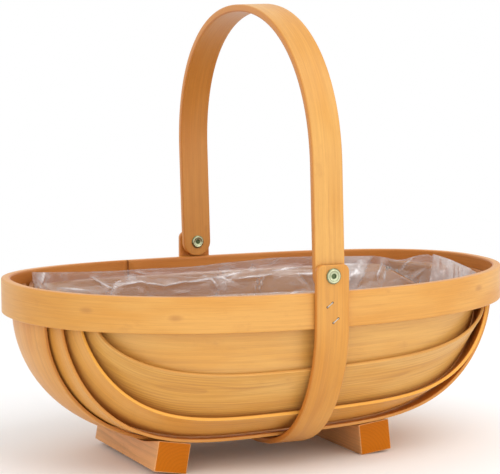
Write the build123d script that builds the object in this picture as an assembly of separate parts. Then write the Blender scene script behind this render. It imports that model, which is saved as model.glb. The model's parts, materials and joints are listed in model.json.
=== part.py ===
from build123d import *
import math
import os

# Trug garden basket: a lapped wooden hull nailed inside a bent rim, a cradle strap round
# the outside, two cross feet, and an arched handle that swings on a bolt at each side.
# X runs along the basket, Y across it, +Z up. Z = 0 is the ground under the feet.
# All lengths are in millimetres.

# Rim band: a bent hoop whose plan is a rounded oval, a little higher at the two ends
rim_length = 530.0
rim_width = 330.0
rim_squareness = 2.32
rim_height = 34.6
rim_thickness = 9.0
rim_top = 181.4
rim_sheer = 4.4
rim_plan_points = 48
lap_length = 110.0
lap_step = 4.0
lap_place_share = -0.32

# Hull boards: the centre board lies outermost, and each board above it tucks its lower
# edge inside the one below. Edge tables run from the centre board up to the rim.
board_thickness = 3.4
board_width = 62.0
board_gap = 1.0
board_tail = 22.0
board_spring = 151.0
board_stations = 17
hull_trim_share = 0.026
edge_end_shares = (0.304, 0.4225, 0.5265, 0.598)
edge_girth_shares = (0.085, 0.245, 0.492, 0.765)
edge_fullness_shares = (3.37, 4.11, 4.64, 3.86)
edge_depth_shares = (0.533, 0.618, 0.697, 0.602)
centre_fullness_share = 3.38
centre_depth_share = 0.549
plan_fullness_share = 2.33
plan_depth_share = 0.727
top_board_reach_share = 0.76
top_board_rise = 17.0

# Cradle strap: one bent strap, up both sides outside the rim and under the hull
strap_width = 34.6
strap_thickness = 6.0
strap_top = 208.5
strap_bottom = 12.5
strap_shoulder = 145.0
strap_side_share = 3.0
strap_drop_share = 1.7
strap_corner = 7.0
strap_points = 15

# Handle: a bent strip with straight legs, rounded at the lower ends
handle_width = 31.6
handle_thickness = 7.4
handle_top = 455.0
handle_spring = 299.5
handle_squareness = 2.16
handle_lean = 1.5
handle_end_drop = 15.4
handle_points = 13
pivot_height = 197.6

# Feet: two cross bars, each with its top hollowed to the hull
foot_width = 34.5
foot_length = 167.0
foot_wear = 0.6
left_foot_place = -128.0
right_foot_place = 92.0

# Pivot hardware: a connector bolt and a cap nut on each side
bolt_head_diameter = 15.0
bolt_head_height = 1.9
bolt_head_edge = 0.6
bolt_shank_diameter = 6.0
socket_size = 4.0
socket_depth = 1.6
sleeve_diameter = 8.0
nut_head_diameter = 13.6

# Small fastenings
staple_crown = 7.5
staple_wire = 1.1
staple_leg = 9.0
staple_slant = 37.0
staple_drop_shares = (0.32, 0.765)
staple_side_shares = (-0.10, 0.08)
nail_shank_diameter = 1.6
nail_head_diameter = 4.2
nail_head_height = 0.7
nail_edge_distance = 12.0
rim_nail_bite = 4.0
foot_nail_bite = 10.0
strap_nail_bite = 4.0
keel_nail_spacing = 32.0

# Liner film, drawn thicker than the real film
liner_thickness = 0.5
liner_drop = 9.0
liner_end_gap = 8.0
liner_side_gap = 10.0
liner_floor_gap = 1.0
liner_levels = 9

# Clearances
seat_clearance = 0.3
pivot_clearance = 0.05
thread_clearance = 0.15
pilot_clearance = 0.1
cut_overrun = 4.0
foot_clearance = 0.5

# Worked out sizes
rim_half_length = rim_length / 2
rim_half_width = rim_width / 2
rim_base = rim_top - rim_height
strap_inner = rim_half_width + seat_clearance
strap_outer = strap_inner + strap_thickness
leg_outer = strap_inner - seat_clearance
leg_inner = leg_outer - handle_thickness
half_board = board_thickness / 2
girth_clearance = seat_clearance + hull_trim_share * strap_width / 2


def power(value, exponent):
    """Signed power, for rounded ovals."""
    return math.copysign(abs(value) ** exponent, value)


def oval_point(angle, inset=0.0):
    """Point of the rim's plan oval, moved inwards along its normal."""
    c, s = math.cos(angle), math.sin(angle)
    x = rim_half_length * power(c, 2 / rim_squareness)
    y = rim_half_width * power(s, 2 / rim_squareness)
    nx = power(x / rim_half_length, rim_squareness - 1) / rim_half_length
    ny = power(y / rim_half_width, rim_squareness - 1) / rim_half_width
    size = math.hypot(nx, ny)
    return x - inset * nx / size, y - inset * ny / size


def oval_at_y(y, inset):
    """Positive x of the inset oval at a given y."""
    low, high = 0.0, math.pi / 2
    for _ in range(50):
        middle = (low + high) / 2
        if oval_point(middle, inset)[1] < y:
            low = middle
        else:
            high = middle
    return oval_point(low, inset)[0]


def oval_at_x(x, inset):
    """Positive y of the inset oval at a given x."""
    low, high = 0.0, math.pi / 2
    for _ in range(50):
        middle = (low + high) / 2
        if oval_point(middle, inset)[0] > abs(x):
            low = middle
        else:
            high = middle
    return oval_point(low, inset)[1]


def oval_wire(inset, z, scale_x=1.0, scale_y=1.0, slope=0.0):
    """Closed smooth outline of the inset oval at height z, rising along X by a slope."""
    turns = [2 * math.pi * k / rim_plan_points for k in range(rim_plan_points)]
    points = [oval_point(turn, inset) for turn in turns]
    places = [Vector(scale_x * x, scale_y * y, z + slope * scale_x * x) for x, y in points]
    return Wire([Edge.make_spline(places, periodic=True)])


def make_rim_band():
    """Hoop with a raised sheer line, and the scarfed inner end of its lap on the far side."""
    reach = rim_half_length + cut_overrun
    bow = rim_sheer * (reach / rim_half_length) ** 2
    lower, upper = rim_base + bow, rim_top + bow
    side = Face(Wire([
        Edge.make_three_point_arc(Vector(-reach, -rim_width, lower), Vector(0, -rim_width, rim_base),
                                  Vector(reach, -rim_width, lower)),
        Edge.make_line(Vector(reach, -rim_width, lower), Vector(reach, -rim_width, upper)),
        Edge.make_three_point_arc(Vector(reach, -rim_width, upper), Vector(0, -rim_width, rim_top),
                                  Vector(-reach, -rim_width, upper)),
        Edge.make_line(Vector(-reach, -rim_width, upper), Vector(-reach, -rim_width, lower))]))
    slab = extrude(side, 2 * rim_width, dir=(0, 1, 0))
    deep = rim_height + rim_sheer + 2 * cut_overrun
    base = rim_base - cut_overrun
    place = lap_place_share * rim_half_length
    lap_taper = 1 + seat_clearance / lap_step
    shares = (0.0, 0.5, 1.0)
    runs = [place - lap_length * share for share in shares]
    floor = [Vector(x, oval_at_x(x, rim_thickness - lap_step * (1 - lap_taper * share)), base)
             for x, share in zip(runs, shares)]
    front = [Vector(x, oval_at_x(x, rim_thickness + cut_overrun), base) for x in runs]
    recess = Face(Wire([Edge.make_spline(floor), Edge.make_line(floor[-1], front[-1]),
                        Edge.make_spline(front[::-1]), Edge.make_line(front[0], floor[0])]))
    outer = extrude(Face(oval_wire(0, base)), deep, dir=(0, 0, 1))
    inner = extrude(Face(oval_wire(rim_thickness, base)), deep, dir=(0, 0, 1))
    return (outer & slab) - inner - extrude(recess, deep, dir=(0, 0, 1))


def girth_point(share, inset):
    """Point of the strap's outline in the middle of the basket, from the keel to the rim.

    The share is that of the quarter turn, and the inset is measured inwards from the strap's outside.
    """
    turn = share * math.pi / 2
    half, drop = strap_outer, strap_shoulder - strap_bottom
    y = half * math.sin(turn) ** (2 / strap_side_share)
    z = strap_shoulder - drop * math.cos(turn) ** (2 / strap_drop_share)
    ny = strap_side_share * (y / half) ** (strap_side_share - 1) / half
    nz = -strap_drop_share * ((strap_shoulder - z) / drop) ** (strap_drop_share - 1) / drop
    size = math.hypot(ny, nz)
    return y - inset * ny / size, z - inset * nz / size


def make_cradle_strap():
    """U of one thickness, with rounded corners at its two upper ends."""
    shares = [k / (strap_points - 1) for k in range(strap_points)]
    half_outer = [girth_point(share, 0) for share in shares]
    half_inner = [girth_point(share, strap_thickness) for share in shares]

    def spline(half):
        points = [Vector(0, -y, z) for y, z in reversed(half)] + [Vector(0, y, z) for y, z in half[1:]]
        return Edge.make_spline(points, tangents=[Vector(0, 0, -1), Vector(0, 0, 1)], scale=False)

    outer_end, inner_end = half_outer[-1][0], half_inner[-1][0]
    section = Face(Wire([
        spline(half_outer),
        Edge.make_line(Vector(0, outer_end, strap_shoulder), Vector(0, outer_end, strap_top)),
        Edge.make_line(Vector(0, outer_end, strap_top), Vector(0, inner_end, strap_top)),
        Edge.make_line(Vector(0, inner_end, strap_top), Vector(0, inner_end, strap_shoulder)),
        spline(half_inner),
        Edge.make_line(Vector(0, -inner_end, strap_shoulder), Vector(0, -inner_end, strap_top)),
        Edge.make_line(Vector(0, -inner_end, strap_top), Vector(0, -outer_end, strap_top)),
        Edge.make_line(Vector(0, -outer_end, strap_top), Vector(0, -outer_end, strap_shoulder))]))
    strap = Pos(-strap_width / 2, 0, 0) * extrude(section, strap_width, dir=(1, 0, 0))
    corners = [edge for edge in strap.edges().filter_by(Axis.Y)
               if edge.center().Z > strap_top - seat_clearance]
    return fillet(corners, strap_corner)


def edge_curve(index):
    """Ends, girth point and exponents of a board's upper edge line, at half its thickness."""
    inset = rim_thickness + board_gap + half_board
    end_y = edge_end_shares[index] * rim_half_width
    end_x = oval_at_y(end_y, inset)
    girth_inset = strap_thickness + girth_clearance + half_board
    girth = girth_point(edge_girth_shares[index], girth_inset)
    return (end_x, end_y), girth, edge_fullness_shares[index], edge_depth_shares[index]


def edge_at(curve, x):
    """Point of an edge line at a given x."""
    (end_x, end_y), (girth_y, girth_z), fullness, depth = curve
    along = min(abs(x / end_x), 1)
    dip = (1 - along ** fullness) ** depth
    spread = (1 - along ** plan_fullness_share) ** plan_depth_share
    z = board_spring + (girth_z - board_spring) * dip + hull_trim_share * x * dip
    return Vector(x, end_y + (girth_y - end_y) * spread, z)


def edge_point(curve, u):
    """Point of an edge line at station u, from -1 at the left end to 1 at the right."""
    return edge_at(curve, curve[0][0] * math.sin(math.pi * u / 2))


def centre_curve():
    """Keel line of the centre board, at half its thickness."""
    end_x = rim_half_length - rim_thickness - seat_clearance - half_board
    keel_z = strap_bottom + strap_thickness + girth_clearance + half_board
    return (end_x, 0.0), (0.0, keel_z), centre_fullness_share, centre_depth_share


def top_edge_point(u):
    """Upper edge of the top board, hidden behind the rim."""
    along = math.sin(math.pi * u / 2)
    x = top_board_reach_share * rim_half_length * along
    y = oval_at_x(x, rim_thickness + seat_clearance + half_board)
    return Vector(x, y, rim_base + top_board_rise + rim_sheer * along ** 2)


def board_lines():
    """Upper and lower mid lines and outward normals of every board on the far side."""
    stations = [-1 + 2 * k / (board_stations - 1) for k in range(board_stations)]
    keel = [edge_point(centre_curve(), u) for u in stations]
    uppers = [[edge_point(edge_curve(index), u) for u in stations] for index in range(len(edge_end_shares))]
    uppers.append([top_edge_point(u) for u in stations])
    boards = [(uppers[0], keel, strip_normals(uppers[0], keel, True))]
    for upper in uppers[1:]:
        below_upper, below_lower, below_normals = boards[-1]
        lower = []
        for k in range(board_stations):
            down = (below_lower[k] - below_upper[k]).normalized()
            lap = board_width - (upper[k] - below_upper[k]).length
            inward = below_normals[k] * -(board_thickness + board_gap)
            lower.append(below_upper[k] + down * max(lap, board_thickness) + inward)
        boards.append((upper, lower, strip_normals(upper, lower, upper is not uppers[-1])))
    return boards


def strip_normals(upper, lower, upright_ends):
    """Unit normals of a strip between two lines, pointing out of the hull."""
    normals = []
    last = len(upper) - 1
    for k in range(last + 1):
        before, after = max(k - 1, 0), min(k + 1, last)
        run = (upper[after] + lower[after]) - (upper[before] + lower[before])
        if upright_ends and k in (0, last):
            run = Vector(0, 0, run.Z)
        normal = (lower[k] - upper[k]).cross(run).normalized()
        middle = (upper[k] + lower[k]) / 2
        outward = Vector(middle.X, middle.Y, middle.Z - rim_top)
        normals.append(normal if normal.dot(outward) > 0 else normal * -1)
    return normals


def with_tails(upper, lower, normals):
    """Adds the straight ends that stand up inside the rim."""
    steps = (board_tail, board_tail / 2)

    def raised(lines, steps, end):
        return [lines[end] + Vector(0, 0, step) for step in steps]

    upper = raised(upper, steps, 0) + upper + raised(upper, steps[::-1], -1)
    lower = raised(lower, steps, 0) + lower + raised(lower, steps[::-1], -1)
    normals = [normals[0]] * 2 + normals + [normals[-1]] * 2
    return upper, lower, normals


def mirrored(point, side):
    return Vector(point.X, side * point.Y, point.Z)


def loft_board(upper, lower, normals, side):
    """Closed strip through planar four-sided sections."""
    wires = []
    for top, bottom, normal in zip(upper, lower, normals):
        corners = (top + normal * half_board, bottom + normal * half_board,
                   bottom - normal * half_board, top - normal * half_board)
        corners = [mirrored(corner, side) for corner in corners]
        wires.append(Wire([Edge.make_line(corners[k], corners[(k + 1) % 4]) for k in range(4)]))
    return Solid.make_loft(wires)


def loft_centre_board(upper, keel, normals):
    """Closed strip whose sections bow from edge to edge through the keel line."""
    upper, keel, normals = with_tails(upper, keel, normals)
    wires = []
    last = len(keel) - 1
    for k in range(last + 1):
        run = keel[min(k + 1, last)] - keel[max(k - 1, 0)]
        normal = run.cross(Vector(0, 1, 0)).normalized()
        if normal.dot(Vector(keel[k].X, 0, keel[k].Z - rim_top)) < 0:
            normal = normal * -1
        far, near = upper[k], mirrored(upper[k], -1)
        out, back = normal * half_board, normal * -half_board
        wires.append(Wire([
            Edge.make_three_point_arc(near + out, keel[k] + out, far + out),
            Edge.make_line(far + out, far + back),
            Edge.make_three_point_arc(far + back, keel[k] + back, near + back),
            Edge.make_line(near + back, near + out)]))
    return Solid.make_loft(wires)


def arch_outline(half, top, count):
    """Points of a rounded arch in the YZ plane, from the near spring line to the far one."""
    points = []
    for k in range(count):
        turn = math.pi * k / (count - 1)
        y = -half * power(math.cos(turn), 2 / handle_squareness)
        z = handle_spring + (top - handle_spring) * math.sin(turn) ** (2 / handle_squareness)
        points.append(Vector(0, y, z))
    return points


def make_handle_arch():
    """Bent strip with two straight legs and a pivot hole near each rounded end."""
    foot = pivot_height - handle_end_drop
    up, down = Vector(0, 0, 1), Vector(0, 0, -1)
    outer = arch_outline(leg_outer, handle_top, handle_points)
    inner = arch_outline(leg_inner, handle_top - handle_thickness, handle_points)
    section = Face(Wire([
        Edge.make_spline(outer, tangents=[up, down], scale=False),
        Edge.make_line(outer[-1], Vector(0, leg_outer, foot)),
        Edge.make_line(Vector(0, leg_outer, foot), Vector(0, leg_inner, foot)),
        Edge.make_line(Vector(0, leg_inner, foot), inner[-1]),
        Edge.make_spline(inner, tangents=[up, down], scale=False),
        Edge.make_line(inner[0], Vector(0, -leg_inner, foot)),
        Edge.make_line(Vector(0, -leg_inner, foot), Vector(0, -leg_outer, foot)),
        Edge.make_line(Vector(0, -leg_outer, foot), outer[0])]))
    arch = Pos(-handle_width / 2, 0, 0) * extrude(section, handle_width, dir=(1, 0, 0))
    ends = [edge for edge in arch.edges().filter_by(Axis.Y) if edge.center().Z < foot + seat_clearance]
    arch = fillet(ends, handle_end_drop)
    bore = Cylinder(sleeve_diameter / 2 + pivot_clearance, 2 * rim_width, rotation=(90, 0, 0))
    arch = arch - Pos(0, 0, pivot_height) * bore
    return Pos(0, 0, pivot_height) * Rot(0, -handle_lean, 0) * Pos(0, 0, -pivot_height) * arch


def make_pivot_bolt(side):
    """Flat-headed bolt with a six-sided recess, its shank inside the cap nut's sleeve."""
    stack = strap_outer - leg_inner
    head = Cylinder(bolt_head_diameter / 2, bolt_head_height, align=(Align.CENTER, Align.CENTER, Align.MIN))
    head = fillet(head.edges().group_by(Axis.Z)[-1], bolt_head_edge)
    socket = extrude(RegularPolygon(socket_size / 2, 6, major_radius=False), socket_depth)
    head = head - Pos(0, 0, bolt_head_height - socket_depth) * socket
    shank = Cylinder(bolt_shank_diameter / 2, stack, align=(Align.CENTER, Align.CENTER, Align.MAX))
    bolt = head + shank
    seat = side * (strap_outer + seat_clearance)
    return Pos(0, seat, pivot_height) * Rot(-90 * side, 0, 0) * bolt


def make_pivot_nut(side):
    """Cap nut whose sleeve passes through the leg and the strap as the handle's pivot."""
    stack = strap_outer - leg_inner
    head = Cylinder(nut_head_diameter / 2, bolt_head_height, align=(Align.CENTER, Align.CENTER, Align.MIN))
    head = fillet(head.edges().group_by(Axis.Z)[-1], bolt_head_edge)
    socket = extrude(RegularPolygon(socket_size / 2, 6, major_radius=False), socket_depth)
    head = head - Pos(0, 0, bolt_head_height - socket_depth) * socket
    sleeve = Cylinder(sleeve_diameter / 2, stack, align=(Align.CENTER, Align.CENTER, Align.MAX))
    bore_radius = bolt_shank_diameter / 2 + thread_clearance
    bore = Cylinder(bore_radius, stack + cut_overrun, align=(Align.CENTER, Align.CENTER, Align.MAX))
    nut = head + (sleeve - bore)
    seat = side * (leg_inner - seat_clearance)
    return Pos(0, seat, pivot_height) * Rot(90 * side, 0, 0) * nut


def keel_frame(x):
    """Frame on the outside of the keel at a given x, with its X along the slope."""
    keel = centre_curve()
    step = half_board
    slope = (edge_at(keel, x + step).Z - edge_at(keel, x - step).Z) / (2 * step)
    tilt = math.atan(slope)
    outside = edge_at(keel, x) + Vector(math.sin(tilt), 0, -math.cos(tilt)) * half_board
    return outside, math.degrees(tilt)


def make_foot(place):
    """Cross bar hollowed to the hull, standing on the worn bottom edge that is nearer the middle."""
    outside, tilt = keel_frame(place)
    lean = math.radians(abs(tilt))
    depth = (outside.Z + foot_wear - foot_width / 2 * math.sin(lean)) / math.cos(lean)
    curves = [centre_curve()] + [edge_curve(index) for index in range(3)]
    hull = [edge_at(curve, place) for curve in curves]
    rises = [(point.Y, (point.Z - hull[0].Z) * math.cos(lean) - foot_clearance) for point in hull]
    top = [Vector(0, -y, z) for y, z in reversed(rises)] + [Vector(0, y, z) for y, z in rises[1:]]
    outline = Wire.make_polygon(top + [Vector(0, rises[-1][0], -depth), Vector(0, -rises[-1][0], -depth)])
    bar = Pos(-foot_width / 2, 0, 0) * extrude(Face(outline), foot_width, dir=(1, 0, 0))
    bar = bar & Box(2 * foot_width, foot_length, 2 * rim_top)
    ground = Pos(place, 0, 0) * Box(2 * foot_length, 2 * foot_length, foot_width,
                                    align=(Align.CENTER, Align.CENTER, Align.MAX))
    return Pos(outside) * Rot(0, -tilt, 0) * bar - ground


def make_liner():
    """Open bowl of film that follows the inside of the hull."""
    (end_x, _), (_, keel_z), fullness, depth = centre_curve()
    layers = 4 * board_thickness + 3 * board_gap
    half_length = end_x - layers - liner_end_gap
    half_width = rim_half_width - rim_thickness - board_thickness - liner_side_gap
    floor_z = keel_z + half_board + board_thickness + board_gap + liner_floor_gap
    top_z = rim_top - liner_drop
    bowls = []
    for inset, lid in ((0.0, top_z), (liner_thickness, top_z + cut_overrun)):
        wires = []
        for k in range(1, liner_levels):
            turn = k / (liner_levels - 1) * math.pi / 2
            dip = math.cos(turn) ** (2 * depth)
            z = board_spring + (floor_z + inset - board_spring) * dip
            a = (half_length - inset) * math.sin(turn) ** (2 / fullness)
            b = (half_width - inset) * math.sin(turn) ** (2 / strap_side_share)
            wires.append(oval_wire(0, z, a / rim_half_length, b / rim_half_width, hull_trim_share))
        scales = (half_length - inset) / rim_half_length, (half_width - inset) / rim_half_width
        bowls.append(Solid.make_loft(wires + [oval_wire(0, lid, *scales, hull_trim_share)]))
    return bowls[0] - bowls[1]


def upright_on(point, axis):
    """Placement with its Z along a given axis."""
    return Location(Plane(origin=point, z_dir=axis))


def nail(length, clearance=0.0):
    """Nail or its pilot hole, head above the origin and shank below."""
    head = Cylinder(nail_head_diameter / 2, nail_head_height, align=(Align.CENTER, Align.CENTER, Align.MIN))
    shank = Cylinder(nail_shank_diameter / 2 + clearance, length + clearance,
                     align=(Align.CENTER, Align.CENTER, Align.MAX))
    return shank if clearance else head + shank


def rim_nail_places(boards):
    """Head place and inward axis of the nail at each end of every board, on both sides."""
    places = []
    for index, (upper, lower, normals) in enumerate(boards):
        for end in (0, -1):
            down = (lower[end] - upper[end]).normalized()
            spot = upper[end] + down * nail_edge_distance + normals[end] * -(half_board + pilot_clearance)
            if index < len(boards) - 1:
                spot = spot + Vector(0, 0, board_tail / 2)
            for side in (-1, 1):
                places.append((mirrored(spot, side), mirrored(normals[end] * -1, side)))
    return places


def keel_nail_places(x):
    """Head place and inward axis of the two nails through the centre board at a given x."""
    outside, tilt = keel_frame(x)
    lean = math.radians(tilt)
    up = Vector(-math.sin(lean), 0, math.cos(lean))
    rise = board_thickness + seat_clearance + pilot_clearance
    return [(outside + up * rise + Vector(0, side * keel_nail_spacing / 2, 0), up) for side in (-1, 1)]


def staple(clearance=0.0):
    """Staple in the XY plane of its crown, legs downwards."""
    wire = staple_wire + 2 * clearance
    leg = Box(wire, wire, staple_leg + clearance, align=(Align.CENTER, Align.CENTER, Align.MAX))
    crown = Box(staple_crown, wire, staple_wire, align=(Align.CENTER, Align.CENTER, Align.MIN))
    spread = (staple_crown - staple_wire) / 2
    legs = Pos(-spread, 0, 0) * leg + Pos(spread, 0, 0) * leg
    return legs if clearance else crown + legs


def staple_places():
    """Two slanted staples on each side, through the strap and into the rim."""
    places = []
    for side in (-1, 1):
        for drop, across in zip(staple_drop_shares, staple_side_shares):
            spot = Vector(across * strap_width, side * strap_outer, rim_top - drop * rim_height)
            along = Vector(math.cos(math.radians(staple_slant)), 0, math.sin(math.radians(staple_slant)))
            places.append(Location(Plane(origin=spot, x_dir=along, z_dir=Vector(0, side, 0))))
    return places


def group(solids):
    return Compound(children=[Solid(solid.solid().wrapped) for solid in solids])


parts = {}
boards = board_lines()
board_names = ("lower", "bilge", "side", "top")
parts["rim_band"] = make_rim_band()
parts["cradle_strap"] = make_cradle_strap()
parts["handle_arch"] = make_handle_arch()
parts["centre_board"] = loft_centre_board(*boards[0])
parts["left_foot"] = make_foot(left_foot_place)
parts["right_foot"] = make_foot(right_foot_place)
parts["liner"] = make_liner()
for side, word in ((-1, "near"), (1, "far")):
    for name, (upper, lower, normals) in zip(board_names, boards[1:]):
        if name != "top":
            upper, lower, normals = with_tails(upper, lower, normals)
        parts[f"{word}_{name}_board"] = loft_board(upper, lower, normals, side)
    parts[f"{word}_pivot_bolt"] = make_pivot_bolt(side)
    parts[f"{word}_pivot_nut"] = make_pivot_nut(side)

# Holes in the strap for the sleeves, then the nails and staples with their pilot holes
sleeve_bore = Cylinder(sleeve_diameter / 2 + pivot_clearance, 2 * rim_width, rotation=(90, 0, 0))
parts["cradle_strap"] = parts["cradle_strap"] - Pos(0, 0, pivot_height) * sleeve_bore
nail_sets = (
    ("rim_nails", rim_nail_places(boards), board_thickness + board_gap + rim_nail_bite),
    ("foot_nails", keel_nail_places(left_foot_place) + keel_nail_places(right_foot_place),
     board_thickness + foot_nail_bite),
    ("strap_nails", keel_nail_places(0), board_thickness + strap_nail_bite))
pilots = []
for name, places, length in nail_sets:
    parts[name] = group([upright_on(spot, axis) * nail(length) for spot, axis in places])
    pilots.extend(upright_on(spot, axis) * nail(length, pilot_clearance) for spot, axis in places)
parts["strap_staples"] = group([place * staple() for place in staple_places()])
pilots.extend(place * staple(pilot_clearance) for place in staple_places())
for name in [name for name in parts if name.endswith("board") or name.endswith("foot")
             or name in ("rim_band", "cradle_strap")]:
    box = parts[name].bounding_box()
    near_pilots = [pilot for pilot in pilots if box.overlaps(pilot.bounding_box())]
    if near_pilots:
        parts[name] = parts[name] - near_pilots

os.makedirs("parts", exist_ok=True)
for name, shape in parts.items():
    shape.label = name
    export_step(shape, f"parts/{name}.step")
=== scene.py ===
import json
import math
import random

import bmesh
import bpy
import numpy
from bpy.props import FloatProperty, FloatVectorProperty, PointerProperty
from mathutils import Matrix, Vector
from mathutils.bvhtree import BVHTree

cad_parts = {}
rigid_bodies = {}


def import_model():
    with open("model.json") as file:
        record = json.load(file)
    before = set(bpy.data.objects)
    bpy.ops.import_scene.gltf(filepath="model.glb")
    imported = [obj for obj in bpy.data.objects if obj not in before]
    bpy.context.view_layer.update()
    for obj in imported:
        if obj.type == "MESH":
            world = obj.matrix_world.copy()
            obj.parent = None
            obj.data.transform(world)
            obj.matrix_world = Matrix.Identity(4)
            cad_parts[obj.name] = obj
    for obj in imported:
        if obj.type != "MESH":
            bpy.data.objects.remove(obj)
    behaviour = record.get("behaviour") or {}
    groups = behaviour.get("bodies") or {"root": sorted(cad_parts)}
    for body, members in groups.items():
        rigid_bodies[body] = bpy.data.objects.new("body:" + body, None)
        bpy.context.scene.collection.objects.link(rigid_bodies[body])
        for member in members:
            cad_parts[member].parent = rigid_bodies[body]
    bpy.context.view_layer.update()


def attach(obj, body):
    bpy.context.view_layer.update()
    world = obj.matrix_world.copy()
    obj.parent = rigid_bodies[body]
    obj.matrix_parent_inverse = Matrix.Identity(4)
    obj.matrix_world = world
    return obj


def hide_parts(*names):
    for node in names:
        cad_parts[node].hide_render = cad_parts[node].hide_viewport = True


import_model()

bl_info = {
    "name": "Trug garden basket",
    "version": (1, 0, 0),
    "blender": (4, 5, 0),
    "location": "3D View > Sidebar > Trug",
    "description": "Makes a lapped wooden trug with a film liner and an arched handle",
    "category": "Object",
}

# X runs along the basket, Y across it, +Z up. Shapes are worked out in millimetres and
# become metres when a mesh is made.
MM = 0.001

# Gaps left between pieces, the same as the solids' own
SEAT_CLEARANCE = 0.3
PILOT_CLEARANCE = 0.1

# Rim band
RIM_HALF_LENGTH = 265.0
RIM_HALF_WIDTH = 165.0
RIM_SQUARENESS = 2.32
RIM_HEIGHT = 34.6
RIM_THICKNESS = 9.0
RIM_TOP = 181.4
RIM_BASE = RIM_TOP - RIM_HEIGHT
RIM_SHEER = 4.4
LAP_LENGTH = 110.0
LAP_STEP = 4.0
LAP_PLACE = -84.8
LAP_SECTIONS = 24
RIM_SECTIONS = 168

# Hull boards, listed from the centre board up to the rim
BOARD_THICKNESS = 3.4
HALF_BOARD = BOARD_THICKNESS / 2
BOARD_WIDTH = 62.0
BOARD_GAP = 1.0
BOARD_TAIL = 22.0
BOARD_SPRING = 151.0
BOARD_STATIONS = 81
HULL_TRIM = 0.026
EDGE_ENDS = (0.304, 0.4225, 0.5265, 0.598)
EDGE_GIRTHS = (0.085, 0.245, 0.492, 0.765)
EDGE_FULLNESS = (3.37, 4.11, 4.64, 3.86)
EDGE_DEPTH = (0.533, 0.618, 0.697, 0.602)
CENTRE_FULLNESS = 3.38
CENTRE_DEPTH = 0.549
PLAN_FULLNESS = 2.33
PLAN_DEPTH = 0.727
TOP_BOARD_REACH = 0.76
TOP_BOARD_RISE = 17.0

# Cradle strap
STRAP_WIDTH = 34.6
STRAP_THICKNESS = 6.0
STRAP_OUTER = 171.3
STRAP_TOP = 208.5
STRAP_BOTTOM = 12.5
STRAP_SHOULDER = 145.0
STRAP_SIDE = 3.0
STRAP_DROP = 1.7
STRAP_CORNER = 7.0
STRAP_SECTIONS = 44
GIRTH_INSET = STRAP_THICKNESS + SEAT_CLEARANCE + HULL_TRIM * STRAP_WIDTH / 2 + HALF_BOARD

# Handle
HANDLE_WIDTH = 31.6
HANDLE_OUTER = 165.0
HANDLE_INNER = 157.6
HANDLE_TOP = 455.0
HANDLE_SPRING = 299.5
HANDLE_SQUARENESS = 2.16
HANDLE_LEAN = math.radians(1.5)
HANDLE_END = 15.4
HANDLE_SECTIONS = 96
PIVOT_HEIGHT = 197.6

# Feet
FOOT_WIDTH = 34.5
FOOT_LENGTH = 167.0
FOOT_WEAR = 0.6
FOOT_CLEARANCE = 0.5
FOOT_PLACES = {"left_foot": -128.0, "right_foot": 92.0}

# Pivot hardware
HEAD_HEIGHT = 1.9
BOLT_HEAD = 7.5
NUT_HEAD = 6.8
BOLT_SHANK = 3.0
NUT_SLEEVE = 4.0
HEAD_ROUND = 0.75
SOCKET_HALF_WIDTH = 2.05
SOCKET_FLOOR = 0.25
SOCKET_TURN = math.radians(11)

# Small fastenings. A staple's place is a share of the rim's height down and of the strap's width across.
NAIL_FROM_EDGE = 12.0
NAIL_FROM_MIDDLE = 16.0
RIM_NAIL_LENGTH = 8.4
FOOT_NAIL_LENGTH = 13.4
STRAP_NAIL_LENGTH = 7.4
STAPLE_LEG = 9.0
STAPLE_SLANT = math.radians(37.0)
STAPLE_SINK = 0.35
STAPLE_PLACES = ((0.32, -0.10), (0.765, 0.08))

# Knots of the near rim: place along X and place across the band
KNOT_PLACES = ((-224.3, 3.0), (-150.6, -2.0), (188.9, 4.0))
KNOT_HALF_WIDTH = 3.4

# Camera, as fitted to the photo
CAMERA_TARGET = Vector((0, 0, 0.2))
CAMERA_ROLL = math.radians(-0.13)
CAMERA_SHIFT = (-0.01474, 0.03514)

# Point that every lamp faces
LAMP_TARGET = Vector((0, 0, 0.18))


class TrugSizes(bpy.types.PropertyGroup):
    """Sizes of the edges, the small fastenings and the film"""

    rim_round: FloatProperty(name="Rim edge", description="Rounding of the rim band's edges",
                             default=0.0015, min=0.0002, max=0.004, unit="LENGTH", subtype="DISTANCE")
    strip_round: FloatProperty(name="Strip edge",
                               description="Rounding of the handle's and the strap's edges",
                               default=0.0014, min=0.0002, max=0.0028, unit="LENGTH", subtype="DISTANCE")
    board_round: FloatProperty(name="Board edge", description="Rounding of the boards' edges",
                               default=0.0007, min=0.0001, max=0.0015, unit="LENGTH", subtype="DISTANCE")
    foot_round: FloatProperty(name="Foot edge", description="Rounding of the feet's edges",
                              default=0.0009, min=0.0002, max=0.003, unit="LENGTH", subtype="DISTANCE")
    crease_depth: FloatProperty(name="Film crease", description="Depth of the creases in the liner film",
                                default=0.0026, min=0.0, max=0.006, unit="LENGTH", subtype="DISTANCE")
    staple_wire: FloatProperty(name="Staple wire", description="Thickness of the staples' wire",
                               default=0.0011, min=0.0005, max=0.002, unit="LENGTH", subtype="DISTANCE")
    staple_crown: FloatProperty(name="Staple crown", description="Width of a staple across its legs",
                                default=0.0075, min=0.004, max=0.015, unit="LENGTH", subtype="DISTANCE")
    nail_head: FloatProperty(name="Nail head", description="Diameter of the nails' heads",
                             default=0.0042, min=0.002, max=0.008, unit="LENGTH", subtype="DISTANCE")
    nail_shank: FloatProperty(name="Nail shank", description="Diameter of the nails' shanks",
                              default=0.0016, min=0.0008, max=0.003, unit="LENGTH", subtype="DISTANCE")


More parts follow.
